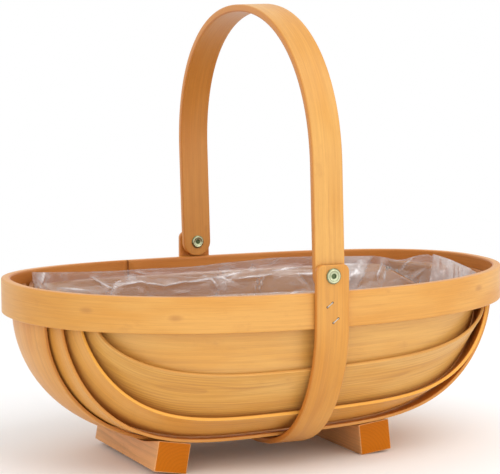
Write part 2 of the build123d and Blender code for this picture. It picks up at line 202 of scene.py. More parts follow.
class TrugFinish(bpy.types.PropertyGroup):
    """Colours and surface of the wood, the film and the metal"""

    wood_light: FloatVectorProperty(name="Light wood", description="Pale wood between the growth lines",
                                    default=(0.70, 0.355, 0.084), size=3, min=0.0, max=1.0, subtype="COLOR")
    wood_warm: FloatVectorProperty(name="Warm wood", description="Warmer patches of the wood",
                                   default=(0.645, 0.29, 0.050), size=3, min=0.0, max=1.0, subtype="COLOR")
    wood_line: FloatVectorProperty(name="Growth line", description="Late wood of the growth lines",
                                   default=(0.42, 0.17, 0.045), size=3, min=0.0, max=1.0, subtype="COLOR")
    # Painted shade: the strips' narrow faces are coloured darker, standing in for the shade they get from the
    # light.
    wood_edge_shade: FloatVectorProperty(name="Strip edge", description="Narrow long faces of the strips",
                                   default=(0.60, 0.22, 0.035), size=3, min=0.0, max=1.0, subtype="COLOR")
    wood_cut: FloatVectorProperty(name="End grain", description="Sawn ends of the strips",
                                  default=(0.34, 0.12, 0.025), size=3, min=0.0, max=1.0, subtype="COLOR")
    foot_wood: FloatVectorProperty(name="Foot wood", description="Long faces of the feet",
                                   default=(0.80, 0.40, 0.16), size=3, min=0.0, max=1.0, subtype="COLOR")
    foot_cut: FloatVectorProperty(name="Foot end", description="Sawn ends of the feet",
                                  default=(0.56, 0.155, 0.002), size=3, min=0.0, max=1.0, subtype="COLOR")
    film_tint: FloatVectorProperty(name="Film", description="Veil of the clear film",
                                   default=(0.92, 0.87, 0.87), size=3, min=0.0, max=1.0, subtype="COLOR")
    film_veil: FloatProperty(name="Film veil", description="How much the flat film hides what is behind it",
                             default=0.34, min=0.05, max=1.0, subtype="FACTOR")
    plating: FloatVectorProperty(name="Plating", description="Yellow plating of the pivot bolts",
                                 default=(0.60, 0.62, 0.40), size=3, min=0.0, max=1.0, subtype="COLOR")
    wire: FloatVectorProperty(name="Steel wire", description="Steel of the nails and staples",
                              default=(0.55, 0.53, 0.48), size=3, min=0.0, max=1.0, subtype="COLOR")
    lacquer: FloatProperty(name="Lacquer roughness", description="Roughness of the lacquered wood",
                           default=0.42, min=0.05, max=1.0, subtype="FACTOR")


class TrugStage(bpy.types.PropertyGroup):
    """Camera and light"""

    azimuth: FloatProperty(name="Azimuth", description="Turn of the camera about the basket",
                           default=math.radians(-24.76), unit="ROTATION", subtype="ANGLE")
    elevation: FloatProperty(name="Elevation", description="Height angle of the camera",
                             default=math.radians(6.72), unit="ROTATION", subtype="ANGLE")
    distance: FloatProperty(name="Distance", description="Distance of the camera from the basket",
                            default=1.9203, min=0.5, unit="LENGTH", subtype="DISTANCE")
    lens: FloatProperty(name="Lens", description="Focal length in millimetres", default=134.69, min=10.0)
    key_power: FloatProperty(name="Key light", description="Power of the large front light in watts",
                             default=2.0, min=0.0)
    low_power: FloatProperty(name="Low light", description="Power of the low front light in watts",
                             default=5.0, min=0.0)
    fill_power: FloatProperty(name="Fill light", description="Power of the left hand light in watts",
                              default=4.0, min=0.0)
    top_power: FloatProperty(name="Top light", description="Power of the light overhead in watts",
                             default=20.0, min=0.0)
    ambient: FloatProperty(name="Ambient", description="Strength of the even light from all round",
                           default=1.0, min=0.0)
    floor_tone: FloatVectorProperty(name="Floor", description="Colour of the floor",
                                    default=(0.92, 0.92, 0.92), size=3, min=0.0, max=1.0, subtype="COLOR")


# Small helpers for node trees

def feed(tree, node, feeds):
    """Links each given input of a node to a socket, or sets it to a value."""
    for key, value in feeds.items():
        if isinstance(value, bpy.types.NodeSocket):
            tree.links.new(value, node.inputs[key])
        else:
            node.inputs[key].default_value = value


def add(tree, kind, feeds=None, **fields):
    """New node with its fields and inputs set."""
    made = tree.nodes.new(kind)
    for field, value in fields.items():
        setattr(made, field, value)
    feed(tree, made, feeds or {})
    return made


def maths(tree, operation, first, second=0.0, clamp=False):
    return add(tree, "ShaderNodeMath", {0: first, 1: second}, operation=operation, use_clamp=clamp).outputs[0]


def times(tree, first, second):
    return maths(tree, "MULTIPLY", first, second)


def plus(tree, first, second, clamp=False):
    return maths(tree, "ADD", first, second, clamp)


def drifted(tree, value, noise, reach):
    """Value moved to either side by a noise."""
    return plus(tree, value, times(tree, maths(tree, "SUBTRACT", noise, 0.5), reach))


def shaded(colour, share):
    return tuple(min(share * c, 1.0) for c in colour)


def mix_colour(tree, share, first, second, blend="MIX"):
    """Mix of two colours, each a socket or three numbers."""
    feeds = {0: share}
    for key, value in ((6, first), (7, second)):
        feeds[key] = value if isinstance(value, bpy.types.NodeSocket) else (*value, 1.0)
    return add(tree, "ShaderNodeMix", feeds, data_type="RGBA", blend_type=blend, clamp_result=True).outputs[2]


def ramp(tree, value, low, high):
    """Smooth step from 0 at low to 1 at high."""
    return add(tree, "ShaderNodeMapRange", {"Value": value, "From Min": low, "From Max": high},
               interpolation_type="SMOOTHSTEP").outputs[0]


def scaled(tree, vector, scale, place=(0.0, 0.0, 0.0)):
    return add(tree, "ShaderNodeMapping", {"Vector": vector, "Location": place, "Scale": scale}).outputs[0]


def noise_at(tree, vector, detail=2.0, roughness=0.5, scale=1.0):
    return add(tree, "ShaderNodeTexNoise", {"Vector": vector, "Scale": scale, "Detail": detail,
                                            "Roughness": roughness}).outputs[0]


def attribute(tree, name):
    return add(tree, "ShaderNodeAttribute", attribute_type="GEOMETRY", attribute_name=name)


def new_material(name):
    """Empty material with a Principled shader."""
    material = bpy.data.materials.new(name)
    material.use_nodes = True
    tree = material.node_tree
    tree.nodes.clear()
    shader = tree.nodes.new("ShaderNodeBsdfPrincipled")
    output = tree.nodes.new("ShaderNodeOutputMaterial")
    tree.links.new(shader.outputs[0], output.inputs["Surface"])
    return material, tree, shader


def wood_material(name, look, knots=()):
    """Lacquered softwood cut from a straight plank.

    The grain attribute holds each point's place in the plank in millimetres: along, across and through.
    The growth rings are bent cylinders along the plank, so faces show long lines and ends show arcs. A knot
    is a place along and across the plank with about half its width.
    """
    found = bpy.data.materials.get(name)
    if found:
        return found
    material, tree, shader = new_material(name)
    grain = attribute(tree, "grain").outputs["Vector"]
    cut_share, edge_share, back_shade_share = (
        attribute(tree, label).outputs["Fac"] for label in ("cut", "edge", "back"))
    line, light, warm, cut = look["line"], look["light"], look["warm"], look["cut"]

    def pattern(scale, detail, roughness=0.5, place=(0.0, 0.0, 0.0)):
        return noise_at(tree, scaled(tree, grain, scale, place), detail, roughness)

    def stained(base, value, low, high, share, colour=line):
        return mix_colour(tree, times(tree, ramp(tree, value, low, high), share), base, colour)

    parts = add(tree, "ShaderNodeSeparateXYZ", {0: grain})
    wander = pattern((0.0045, 0.02, 0.02), 2.0)
    wave = pattern((0.016, 0.05, 0.05), 1.0, place=(3.1, 7.7, 1.9))
    across = drifted(tree, parts.outputs[1], wander, look["wander"])
    through = drifted(tree, parts.outputs[2], wave, look["wander"] * 0.4)
    radius = maths(tree, "SQRT", plus(tree, times(tree, across, across), times(tree, through, through)))
    ring = maths(tree, "FRACT", maths(tree, "DIVIDE", radius, look["gap"]))
    late = times(tree, ramp(tree, ring, 0.3, 0.88), maths(tree, "SUBTRACT", 1.0, ramp(tree, ring, 0.9, 1.0)))
    fibre = pattern((0.05, 1.7, 1.7), 3.0, 0.6)
    streaks = pattern((0.011, 0.62, 0.62), 4.0, 0.66, (6.0, 3.0, 8.0))
    pores = pattern((0.16, 4.5, 4.5), 2.0, 0.7, (9.0, 2.0, 5.0))
    blotch = pattern((0.008, 0.03, 0.03), 2.0, place=(1.7, 4.2, 8.8))
    flecks = pattern((0.035, 0.06, 0.05), 4.0, 0.7, (5.5, 0.4, 2.2))
    body = mix_colour(tree, ramp(tree, blotch, 0.36, 0.66), light, warm)
    fade = ramp(tree, pattern((0.006, 0.045, 0.045), 1.0, place=(2.0, 9.1, 4.0)), 0.25, 0.7)
    lined = mix_colour(tree, times(tree, times(tree, late, fade), look["figure"]), body, line)
    streaked = stained(lined, streaks, 0.46, 0.74, look["streak"])
    pale = stained(streaked, streaks, 0.48, 0.3, look["streak"] * 0.8, shaded(light, 1.25))
    fibred = stained(pale, fibre, 0.45, 0.75, 0.2)
    spotted = stained(fibred, pores, 0.56, 0.72, 0.14)
    flecked = stained(spotted, flecks, 0.58, 0.76, 0.22)
    for along, side, width in knots:
        offset = add(tree, "ShaderNodeVectorMath", {0: grain, 1: (along, side, 0.0)}, operation="SUBTRACT")
        flat = scaled(tree, offset.outputs[0], (0.45 / width, 1.0 / width, 0.0))
        far = add(tree, "ShaderNodeVectorMath", {0: flat}, operation="LENGTH").outputs["Value"]
        flecked = stained(flecked, drifted(tree, far, fibre, 0.5), 1.3, 0.15, 0.55)
    # Painted light and shade: narrow faces take the look's edge colour, darker on most pieces for their shade
    # and lighter on the bilge boards where their upper edges catch the light.
    edge_lit_and_shaded = mix_colour(tree, times(tree, edge_share, look["edge_share"]), flecked, look["edge"])
    # Painted shade: inner faces are multiplied by the look's back colour, darkened as if in shadow.
    back_shaded = mix_colour(tree, back_shade_share, edge_lit_and_shaded, mix_colour(tree, 1.0, edge_lit_and_shaded, look["back"], "MULTIPLY"))
    grain_end = mix_colour(tree, times(tree, late, 0.16), cut, shaded(cut, 0.5))
    grain_end = stained(grain_end, pores, 0.45, 0.7, 0.3, shaded(cut, 0.4))
    sheen = plus(tree, bpy.context.scene.trug_finish.lacquer - 0.06, times(tree, streaks, 0.14))
    relief = plus(tree, times(tree, fibre, 0.6), times(tree, streaks, 0.9))
    bump = add(tree, "ShaderNodeBump", {"Strength": 0.35, "Distance": 0.0003, "Height": relief})
    feed(tree, shader, {"Base Color": mix_colour(tree, cut_share, back_shaded, grain_end), "Roughness": sheen,
                        "Specular IOR Level": look["gloss"], "Coat Weight": 0.12, "Coat Roughness": 0.3,
                        "Normal": bump.outputs[0]})
    return material


def metal_material(name, colour, roughness, tarnish_and_recess_shade, streaks):
    """Plated or bare steel with a cloudy tint and faint turning marks, on Object coordinates, with painted
    shade in its recesses and at staple leg holes.
    """
    found = bpy.data.materials.get(name)
    if found:
        return found
    material, tree, shader = new_material(name)
    place = add(tree, "ShaderNodeTexCoord").outputs["Object"]
    cloud = noise_at(tree, scaled(tree, place, (1.0, 1.0, 1.0)), 3.0, 0.6, 260.0)
    marks = noise_at(tree, scaled(tree, place, streaks), 2.0, 0.5, 1.0)
    # Tarnish from the cloud noise, plus painted shade in the head's underside, grooves and socket.
    tarnish_and_shade_share = plus(tree, times(tree, ramp(tree, cloud, 0.4, 0.75), 0.25),
                attribute(tree, "recess_shade").outputs["Fac"], clamp=True)
    # Painted shade: the hole attribute turns the metal near-black at each staple leg hole.
    hole_shade = attribute(tree, "hole").outputs["Fac"]
    bump = add(tree, "ShaderNodeBump", {"Strength": 0.25, "Distance": 0.0001, "Height": marks})
    feed(tree, shader, {
        "Base Color": mix_colour(tree, hole_shade, mix_colour(tree, tarnish_and_shade_share, colour, tarnish_and_recess_shade), (0.07, 0.03, 0.012)),
        "Metallic": maths(tree, "SUBTRACT", 1.0, hole_shade),
        "Roughness": plus(tree, roughness - 0.06, times(tree, cloud, 0.16)), "Normal": bump.outputs[0]})
    return material


def film_material():
    """Clear polythene: nearly clear where it is flat and milky where it lies double, with creases whitened
    partly by the film's own haze and partly by painted highlight.
    """
    found = bpy.data.materials.get("liner film")
    if found:
        return found
    finish = bpy.context.scene.trug_finish
    material, tree, shader = new_material("liner film")
    flat = attribute(tree, "film").outputs["Vector"]
    crease = attribute(tree, "crease").outputs["Fac"]
    layers = attribute(tree, "layers").outputs["Fac"]
    cloud = noise_at(tree, scaled(tree, flat, (0.035, 0.06, 0.0)), 3.0, 0.6)
    fine = noise_at(tree, scaled(tree, flat, (0.22, 0.35, 0.0), (4.0, 1.0, 2.0)), 3.0, 0.6)
    # Painted highlight: crease ridges are whitened as if catching the light, on top of the film's own haze
    # and doubled layers.
    haze_and_glint = times(tree, crease, plus(tree, 0.25, times(tree, fine, 0.9)))
    haze_and_glint = plus(tree, haze_and_glint, times(tree, ramp(tree, cloud, 0.48, 0.72), 0.28))
    haze_and_glint = plus(tree, haze_and_glint, times(tree, layers, drifted(tree, 0.62, cloud, 0.9)), clamp=True)
    bump = add(tree, "ShaderNodeBump", {"Strength": 0.6, "Distance": 0.0008, "Height": fine})
    feed(tree, shader, {
        "Base Color": mix_colour(tree, haze_and_glint, shaded(finish.film_tint, 0.55), tuple(finish.film_tint)),
        "Alpha": plus(tree, finish.film_veil, times(tree, haze_and_glint, 0.62), clamp=True),
        "Roughness": 0.2, "IOR": 2.0, "Coat Weight": 1.0, "Coat Roughness": 0.08, "Coat IOR": 1.9,
        "Normal": bump.outputs[0]})
    return material


# Curves of the basket, the same as the solids' own

def power(value, exponent):
    """Signed power, for rounded ovals."""
    return math.copysign(abs(value) ** exponent, value)


def oval_point(angle, inset=0.0):
    """Point of the rim's plan oval, moved inwards along its normal."""
    c, s = math.cos(angle), math.sin(angle)
    x = RIM_HALF_LENGTH * power(c, 2 / RIM_SQUARENESS)
    y = RIM_HALF_WIDTH * power(s, 2 / RIM_SQUARENESS)
    nx = power(x / RIM_HALF_LENGTH, RIM_SQUARENESS - 1) / RIM_HALF_LENGTH
    ny = power(y / RIM_HALF_WIDTH, RIM_SQUARENESS - 1) / RIM_HALF_WIDTH
    size = math.hypot(nx, ny)
    return x - inset * nx / size, y - inset * ny / size


def halved(low, high, short):
    """Value between low and high up to which the test short holds, found by halving."""
    for _ in range(50):
        middle = (low + high) / 2
        if short(middle):
            low = middle
        else:
            high = middle
    return low


def oval_search(goal, inset, axis):
    """Other coordinate of the inset oval's first quarter, where the one of that axis is the goal."""
    turn = halved(0.0, math.pi / 2, lambda angle: (oval_point(angle, inset)[axis] < goal) == (axis == 1))
    return oval_point(turn, inset)[1 - axis]


def girth_point(share, inset):
    """Point of the strap's outline in the middle of the basket, from the keel to the rim."""
    turn = share * math.pi / 2
    half, drop = STRAP_OUTER, STRAP_SHOULDER - STRAP_BOTTOM
    y = half * math.sin(turn) ** (2 / STRAP_SIDE)
    z = STRAP_SHOULDER - drop * max(math.cos(turn), 0.0) ** (2 / STRAP_DROP)
    ny = STRAP_SIDE * (y / half) ** (STRAP_SIDE - 1) / half
    nz = -STRAP_DROP * ((STRAP_SHOULDER - z) / drop) ** (STRAP_DROP - 1) / drop
    size = math.hypot(ny, nz)
    return y - inset * ny / size, z - inset * nz / size


def edge_curve(index):
    """Ends, girth point and exponents of a board's upper edge line, at half its thickness."""
    inset = RIM_THICKNESS + BOARD_GAP + HALF_BOARD
    end_y = EDGE_ENDS[index] * RIM_HALF_WIDTH
    end_x = oval_search(end_y, inset, 1)
    return ((end_x, end_y), girth_point(EDGE_GIRTHS[index], GIRTH_INSET),
            EDGE_FULLNESS[index], EDGE_DEPTH[index])


def centre_curve():
    """Keel line of the centre board, at half its thickness."""
    end_x = RIM_HALF_LENGTH - RIM_THICKNESS - SEAT_CLEARANCE - HALF_BOARD
    return (end_x, 0.0), (0.0, STRAP_BOTTOM + GIRTH_INSET), CENTRE_FULLNESS, CENTRE_DEPTH


def edge_at(curve, x):
    """Point of an edge line at a given x."""
    (end_x, end_y), (girth_y, girth_z), fullness, depth = curve
    along = min(abs(x / end_x), 1)
    dip = (1 - along ** fullness) ** depth
    spread = (1 - along ** PLAN_FULLNESS) ** PLAN_DEPTH
    z = BOARD_SPRING + (girth_z - BOARD_SPRING) * dip + HULL_TRIM * x * dip
    return Vector((x, end_y + (girth_y - end_y) * spread, z))


def keel_frame(x):
    """Point of the centre board's outside at a given x, and the board's slope there."""
    keel = centre_curve()
    tilt = math.atan((edge_at(keel, x + HALF_BOARD).z - edge_at(keel, x - HALF_BOARD).z) / BOARD_THICKNESS)
    return edge_at(keel, x) + Vector((math.sin(tilt), 0, -math.cos(tilt))) * HALF_BOARD, tilt


def edge_point(curve, u):
    """Point of an edge line at station u, from -1 at the left end to 1 at the right."""
    return edge_at(curve, curve[0][0] * math.sin(math.pi * u / 2))


def top_edge_point(u):
    """Upper edge of the top board, hidden behind the rim."""
    along = math.sin(math.pi * u / 2)
    x = TOP_BOARD_REACH * RIM_HALF_LENGTH * along
    y = oval_search(abs(x), RIM_THICKNESS + SEAT_CLEARANCE + HALF_BOARD, 0)
    return Vector((x, y, RIM_BASE + TOP_BOARD_RISE + RIM_SHEER * along ** 2))


def strip_normals(upper, lower, upright_ends):
    """Unit normals of a strip between two lines, pointing out of the hull."""
    normals = []
    last = len(upper) - 1
    for k in range(last + 1):
        before, after = max(k - 1, 0), min(k + 1, last)
        run = (upper[after] + lower[after]) - (upper[before] + lower[before])
        if upright_ends and k in (0, last):
            run = Vector((0, 0, run.z))
        normal = (lower[k] - upper[k]).cross(run).normalized()
        middle = (upper[k] + lower[k]) / 2
        outward = Vector((middle.x, middle.y, middle.z - RIM_TOP))
        normals.append(normal if normal.dot(outward) > 0 else -normal)
    return normals


def board_lines():
    """Upper and lower mid lines and outward normals of every board on the far side."""
    stations = [-1 + 2 * k / (BOARD_STATIONS - 1) for k in range(BOARD_STATIONS)]
    keel = [edge_point(centre_curve(), u) for u in stations]
    uppers = []
    for index in range(len(EDGE_ENDS)):
        curve = edge_curve(index)
        uppers.append([edge_point(curve, u) for u in stations])
    uppers.append([top_edge_point(u) for u in stations])
    boards = [(uppers[0], keel, strip_normals(uppers[0], keel, True))]
    for upper in uppers[1:]:
        below_upper, below_lower, below_normals = boards[-1]
        lower = []
        for k in range(BOARD_STATIONS):
            down = (below_lower[k] - below_upper[k]).normalized()
            lap = BOARD_WIDTH - (upper[k] - below_upper[k]).length
            inward = below_normals[k] * -(BOARD_THICKNESS + BOARD_GAP)
            lower.append(below_upper[k] + down * max(lap, BOARD_THICKNESS) + inward)
        boards.append((upper, lower, strip_normals(upper, lower, upper is not uppers[-1])))
    return boards


def with_tails(upper, lower, normals):
    """Adds the straight ends that stand up inside the rim."""
    steps = (BOARD_TAIL, BOARD_TAIL * 0.75, BOARD_TAIL / 2, BOARD_TAIL / 4)

    def raised(lines, heights, end):
        return [lines[end] + Vector((0, 0, height)) for height in heights]

    upper = raised(upper, steps, 0) + upper + raised(upper, steps[::-1], -1)
    lower = raised(lower, steps, 0) + lower + raised(lower, steps[::-1], -1)
    normals = [normals[0]] * len(steps) + normals + [normals[-1]] * len(steps)
    return upper, lower, normals


# Meshes made of rings of points along a strip of wood

def rounded_profile(half_width, half_thick, radius):
    """Corner points of a rounded oblong and, for each, whether the next face is a narrow edge."""
    points = []
    for across, through, first in ((1, 1, 90), (1, -1, 0), (-1, -1, -90), (-1, 1, 180)):
        corner = [(across * (half_width - radius) + radius * math.cos(math.radians(first - 30 * k)),
                   through * (half_thick - radius) + radius * math.sin(math.radians(first - 30 * k)))
                  for k in range(4)]
        support = (across * (half_width - 1.8 * radius), through * half_thick)
        if first in (90, -90):
            points.extend([(support, 0.0), *zip(corner, (0.2, 0.6, 1.0, 1.0))])
        else:
            points.extend([*zip(corner, (1.0, 0.6, 0.2, 0.0)), (support, 0.0)])
    return points


class Strip:
    """Rings of a strip, each point with its place in the straight plank."""

    def __init__(self, seed=(0.0, 0.0, 0.0)):
        self.rings, self.grains, self.edges = [], [], []
        self.seed = seed
        self.run = 0.0
        self.before = None

    def section(self, middle, across, through, half_width, half_thick, radius):
        """Adds a rounded oblong section."""
        if self.before is not None:
            self.run += (middle - self.before).length
        self.before = middle
        radius = min(radius, 0.95 * half_width, 0.95 * half_thick)
        profile = rounded_profile(half_width, half_thick, radius)
        self.ring([middle + across * a + through * t for (a, t), _ in profile],
                  [place for place, _ in profile], [edge for _, edge in profile], self.run)

    def ring(self, points, grains, edges, run):
        """Adds a ring that is already worked out."""
        self.rings.append(points)
        self.grains.append([(run + self.seed[0], a + self.seed[1], t + self.seed[2]) for a, t in grains])
        self.edges = edges


def quads(rings, count):
    """Faces between closed rings of count points each."""
    faces = []
    for first in range(0, (rings - 1) * count, count):
        for j in range(count):
            here, after = first + j, first + (j + 1) % count
            faces.append((here, after, after + count, here + count))
    return faces


def new_mesh(name, verts, faces):
    mesh = bpy.data.meshes.new(name)
    mesh.from_pydata(verts, [], faces)
    return mesh


def mark(mesh, label, domain, values, vector=False):
    """Stores values under a label for the mesh's points, corners or faces."""
    kind, field = ("FLOAT_VECTOR", "vector") if vector else ("FLOAT", "value")
    mesh.attributes.new(label, kind, domain).data.foreach_set(field, values)


def smooth(mesh, crease=None):
    """Shades a mesh smooth, but sharp where it bends by more than the crease angle in degrees."""
    mesh.polygons.foreach_set("use_smooth", [True] * len(mesh.polygons))
    if crease:
        mesh.set_sharp_from_angle(angle=math.radians(crease))


def skin(name, strip, cut_steps=(), capped=True):
    """Closed mesh over a strip's rings, with grain, cut, edge and back attributes, in metres. Edge marks the
    narrow faces for painted light and shade, and back marks the inner faces for painted shade.
    """
    count, last = len(strip.rings[0]), len(strip.rings) - 1
    sides = quads(last + 1, count)
    caps = [tuple(i * count + j for j in range(count)) for i in (0, last)] if capped else []
    grains = [place for ring in strip.grains for place in ring]
    cuts = [1.0 if n // count in cut_steps else 0.0 for n in range(len(sides))]
    edges = [0.0 if cut else strip.edges[n % count] for n, cut in enumerate(cuts)]
    back_limit = 2 * strip.seed[2] - 0.2
    backs = [1.0 if grains[a][2] + grains[b][2] < back_limit else 0.0 for a, b, _, _ in sides]
    mesh = new_mesh(name, [tuple(MM * point) for ring in strip.rings for point in ring], sides + caps)
    mark(mesh, "grain", "CORNER", [c for face in sides + caps for n in face for c in grains[n]], vector=True)
    for label, values, at_cap in (("cut", cuts, 1.0), ("edge", edges, 0.0), ("back", backs, 0.0)):
        mark(mesh, label, "FACE", values + [at_cap] * len(caps))
    mesh.polygons.foreach_set("use_smooth", [not cut for cut in cuts] + [False] * len(caps))
    tidy(mesh)
    return new_object(name, mesh)


def tidy(mesh, gap=1e-6):
    """Merges doubled points and turns every face outwards."""
    made = bmesh.new()
    made.from_mesh(mesh)
    bmesh.ops.remove_doubles(made, verts=made.verts, dist=gap)
    bmesh.ops.dissolve_degenerate(made, edges=made.edges, dist=gap)
    bmesh.ops.recalc_face_normals(made, faces=made.faces)
    made.to_mesh(mesh)
    made.free()
    mesh.update()


def new_object(name, mesh):
    made = bpy.data.objects.new(name, mesh)
    bpy.context.scene.collection.objects.link(made)
    return made


def fit_out(piece, material, body, nodes=()):
    """Gives a finished piece its material, the nodes it stands for and its body."""
    piece.data.materials.clear()
    piece.data.materials.append(material)
    if nodes:
        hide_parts(*nodes)
    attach(piece, body)


def bent_strip(name, path, seed, radius):
    """Strip bent across X through steps of outer point, inner point, half width and half thickness."""
    strip = Strip(seed)
    for outer, inner, width, thick in path:
        strip.section((outer + inner) / 2, Vector((1, 0, 0)), (outer - inner).normalized(),
                      width, thick, radius)
    return skin(name, strip)


def board_look(tone=(1.0, 1.0, 1.0), **changes):
    """Colours and figure of the pale lacquered strips, with the changes of one piece. The default edge and
    back colours are painted shade of the narrow and inner faces.
    """
    finish = bpy.context.scene.trug_finish

    def toned(colour):
        return tuple(min(c * t, 1.0) for c, t in zip(colour, tone))

    look = {"light": toned(finish.wood_light), "warm": toned(finish.wood_warm),
            "line": tuple(finish.wood_line), "cut": tuple(finish.wood_cut), "edge": tuple(finish.wood_edge_shade),
            "edge_share": 0.5, "back": (0.84, 0.70, 0.62), "figure": 0.2, "gap": 3.6, "wander": 14.0,
            "streak": 0.22, "gloss": 0.3}
    look.update(changes)
    return look


def rounded_end(half_width, corner, half_thick, radius, angle):
    """Distances from a strip's rounded end, with the half width and half thickness at each."""
    count = round(90 / angle)
    steps = []
    for rise in sorted({corner * (1 - math.cos(math.radians(angle * k))) for k in range(count + 1)}):
        width = half_width - corner + math.sqrt(max(corner ** 2 - (corner - rise) ** 2, 0))
        ease = radius - math.sqrt(max(radius ** 2 - max(radius - rise, 0) ** 2, 0))
        steps.append((rise, width, half_thick - ease))
    return steps


def leg(steps, outer, inner):
    """Outer and inner points of an upright leg at each height, with its half width and half thickness."""
    return [(Vector((0, outer, height)), Vector((0, inner, height)), width, thick)
            for height, width, thick in steps]


class TRUG_OT_rim(bpy.types.Operator):
    """Bent rim band with its lap joint on the far side"""

    bl_idname = "trug.rim"
    bl_label = "Rim band"

    def execute(self, context):
        radius = context.scene.trug_sizes.rim_round / MM
        start = self.angle_of(LAP_PLACE)
        finish = self.angle_of(LAP_PLACE - LAP_LENGTH)
        turns = [start + (finish - start) * k / LAP_SECTIONS for k in range(LAP_SECTIONS + 1)]
        turns += [finish + (start + 2 * math.pi - finish) * k / RIM_SECTIONS
                  for k in range(1, RIM_SECTIONS + 1)]
        strip = Strip(seed=(0.0, 46.0, 5.0))
        run, before = 0.0, None
        for turn in turns:
            outer = oval_point(turn)
            here = Vector((outer[0], outer[1], 0))
            run += (here - before).length if before else 0.0
            before = here
            lap = 0.0
            if turn < finish:
                share = (LAP_PLACE - outer[0]) / LAP_LENGTH
                lap = LAP_STEP * max(1 - share * 1.075, 0.0)
            self.add_section(strip, turn, run, RIM_THICKNESS - lap, radius)
        rim = skin("rim_band_wood", self.closed(strip), cut_steps=(len(turns) - 1,), capped=False)
        # The rim's back colour is painted shade on its inner face.
        look = board_look(figure=0.13, gap=5.0, wander=9.0, streak=0.22, edge_share=0.3,
                          back=(0.80, 0.60, 0.48))
        knots = [(self.run_to(strip, x), strip.seed[1] + side, KNOT_HALF_WIDTH) for x, side in KNOT_PLACES]
        fit_out(rim, wood_material("rim wood", look, knots), "basket", ["rim_band"])
        return {"FINISHED"}

    def angle_of(self, x):
        """Angle of the oval's far side at a given x of its outside."""
        return halved(math.pi / 2, math.pi, lambda angle: oval_point(angle)[0] > x)

    def add_section(self, strip, turn, run, thickness, radius):
        """Upright section of the band at one angle, its outside on the oval."""
        outer, inner = Vector((*oval_point(turn), 0)), Vector((*oval_point(turn, thickness), 0))
        middle, through = (outer + inner) / 2, (outer - inner).normalized()
        rise = RIM_SHEER * (outer.x / RIM_HALF_LENGTH) ** 2
        profile = rounded_profile(RIM_HEIGHT / 2, thickness / 2, min(radius, thickness * 0.45))
        centre = middle + Vector((0, 0, RIM_BASE + RIM_HEIGHT / 2 + rise))
        points = [centre + Vector((0, 0, a)) + through * t for (a, t), _ in profile]
        shift = (RIM_THICKNESS - thickness) / 2
        strip.ring(points, [(a, t + shift) for (a, t), _ in profile], [edge for _, edge in profile], run)

    def closed(self, strip):
        """Joins the last ring to the first across the lap's step."""
        strip.rings.append(strip.rings[0])
        strip.grains.append([(along + self.last_run(strip), a, t) for along, a, t in strip.grains[0]])
        return strip

    def run_to(self, strip, x):
        """Length along the band at which its near side reaches a given x."""
        near = [(abs(ring[0].x - x), grain[0][0]) for ring, grain in zip(strip.rings, strip.grains)
                if ring[0].y < 0]
        return min(near)[1]

    def last_run(self, strip):
        return strip.grains[-1][0][0] - strip.grains[0][0][0]


class TRUG_OT_strap(bpy.types.Operator):
    """Cradle strap round the outside of the hull"""

    bl_idname = "trug.strap"
    bl_label = "Cradle strap"

    def execute(self, context):
        radius = context.scene.trug_sizes.strip_round / MM
        shares = [(k / STRAP_SECTIONS) ** 1.5 for k in range(STRAP_SECTIONS + 1)]
        bends = [(girth_point(share, 0), girth_point(share, STRAP_THICKNESS)) for share in shares]
        inner = STRAP_OUTER - STRAP_THICKNESS
        ends = self.end_steps(radius)
        path = leg(ends, -STRAP_OUTER, -inner)
        for pairs, sign in ((reversed(bends), -1), (bends[1:], 1)):
            for (oy, oz), (iy, iz) in pairs:
                path.append((Vector((0, sign * oy, oz)), Vector((0, sign * iy, iz)),
                             STRAP_WIDTH / 2, STRAP_THICKNESS / 2))
        path += leg(reversed(ends), STRAP_OUTER, inner)
        strap = bent_strip("cradle_strap_wood", path, (900.0, -9.0, 24.0), radius)
        look = board_look((0.93, 0.86, 0.70), figure=0.26, gap=6.5, wander=12.0, streak=0.28, edge_share=0.85)
        fit_out(strap, wood_material("strap wood", look), "basket", ["cradle_strap"])
        return {"FINISHED"}

    def end_steps(self, radius):
        """Heights, half widths and half thicknesses down from the rounded top end."""
        steps = [(STRAP_TOP - drop, width, thick) for drop, width, thick in rounded_end(
            STRAP_WIDTH / 2, STRAP_CORNER, STRAP_THICKNESS / 2, radius, 10)]
        low = steps[-1][0]
        for k in range(1, 8):
            height = low + (STRAP_SHOULDER - low) * k / 8
            steps.append((height, STRAP_WIDTH / 2, STRAP_THICKNESS / 2))
        return steps


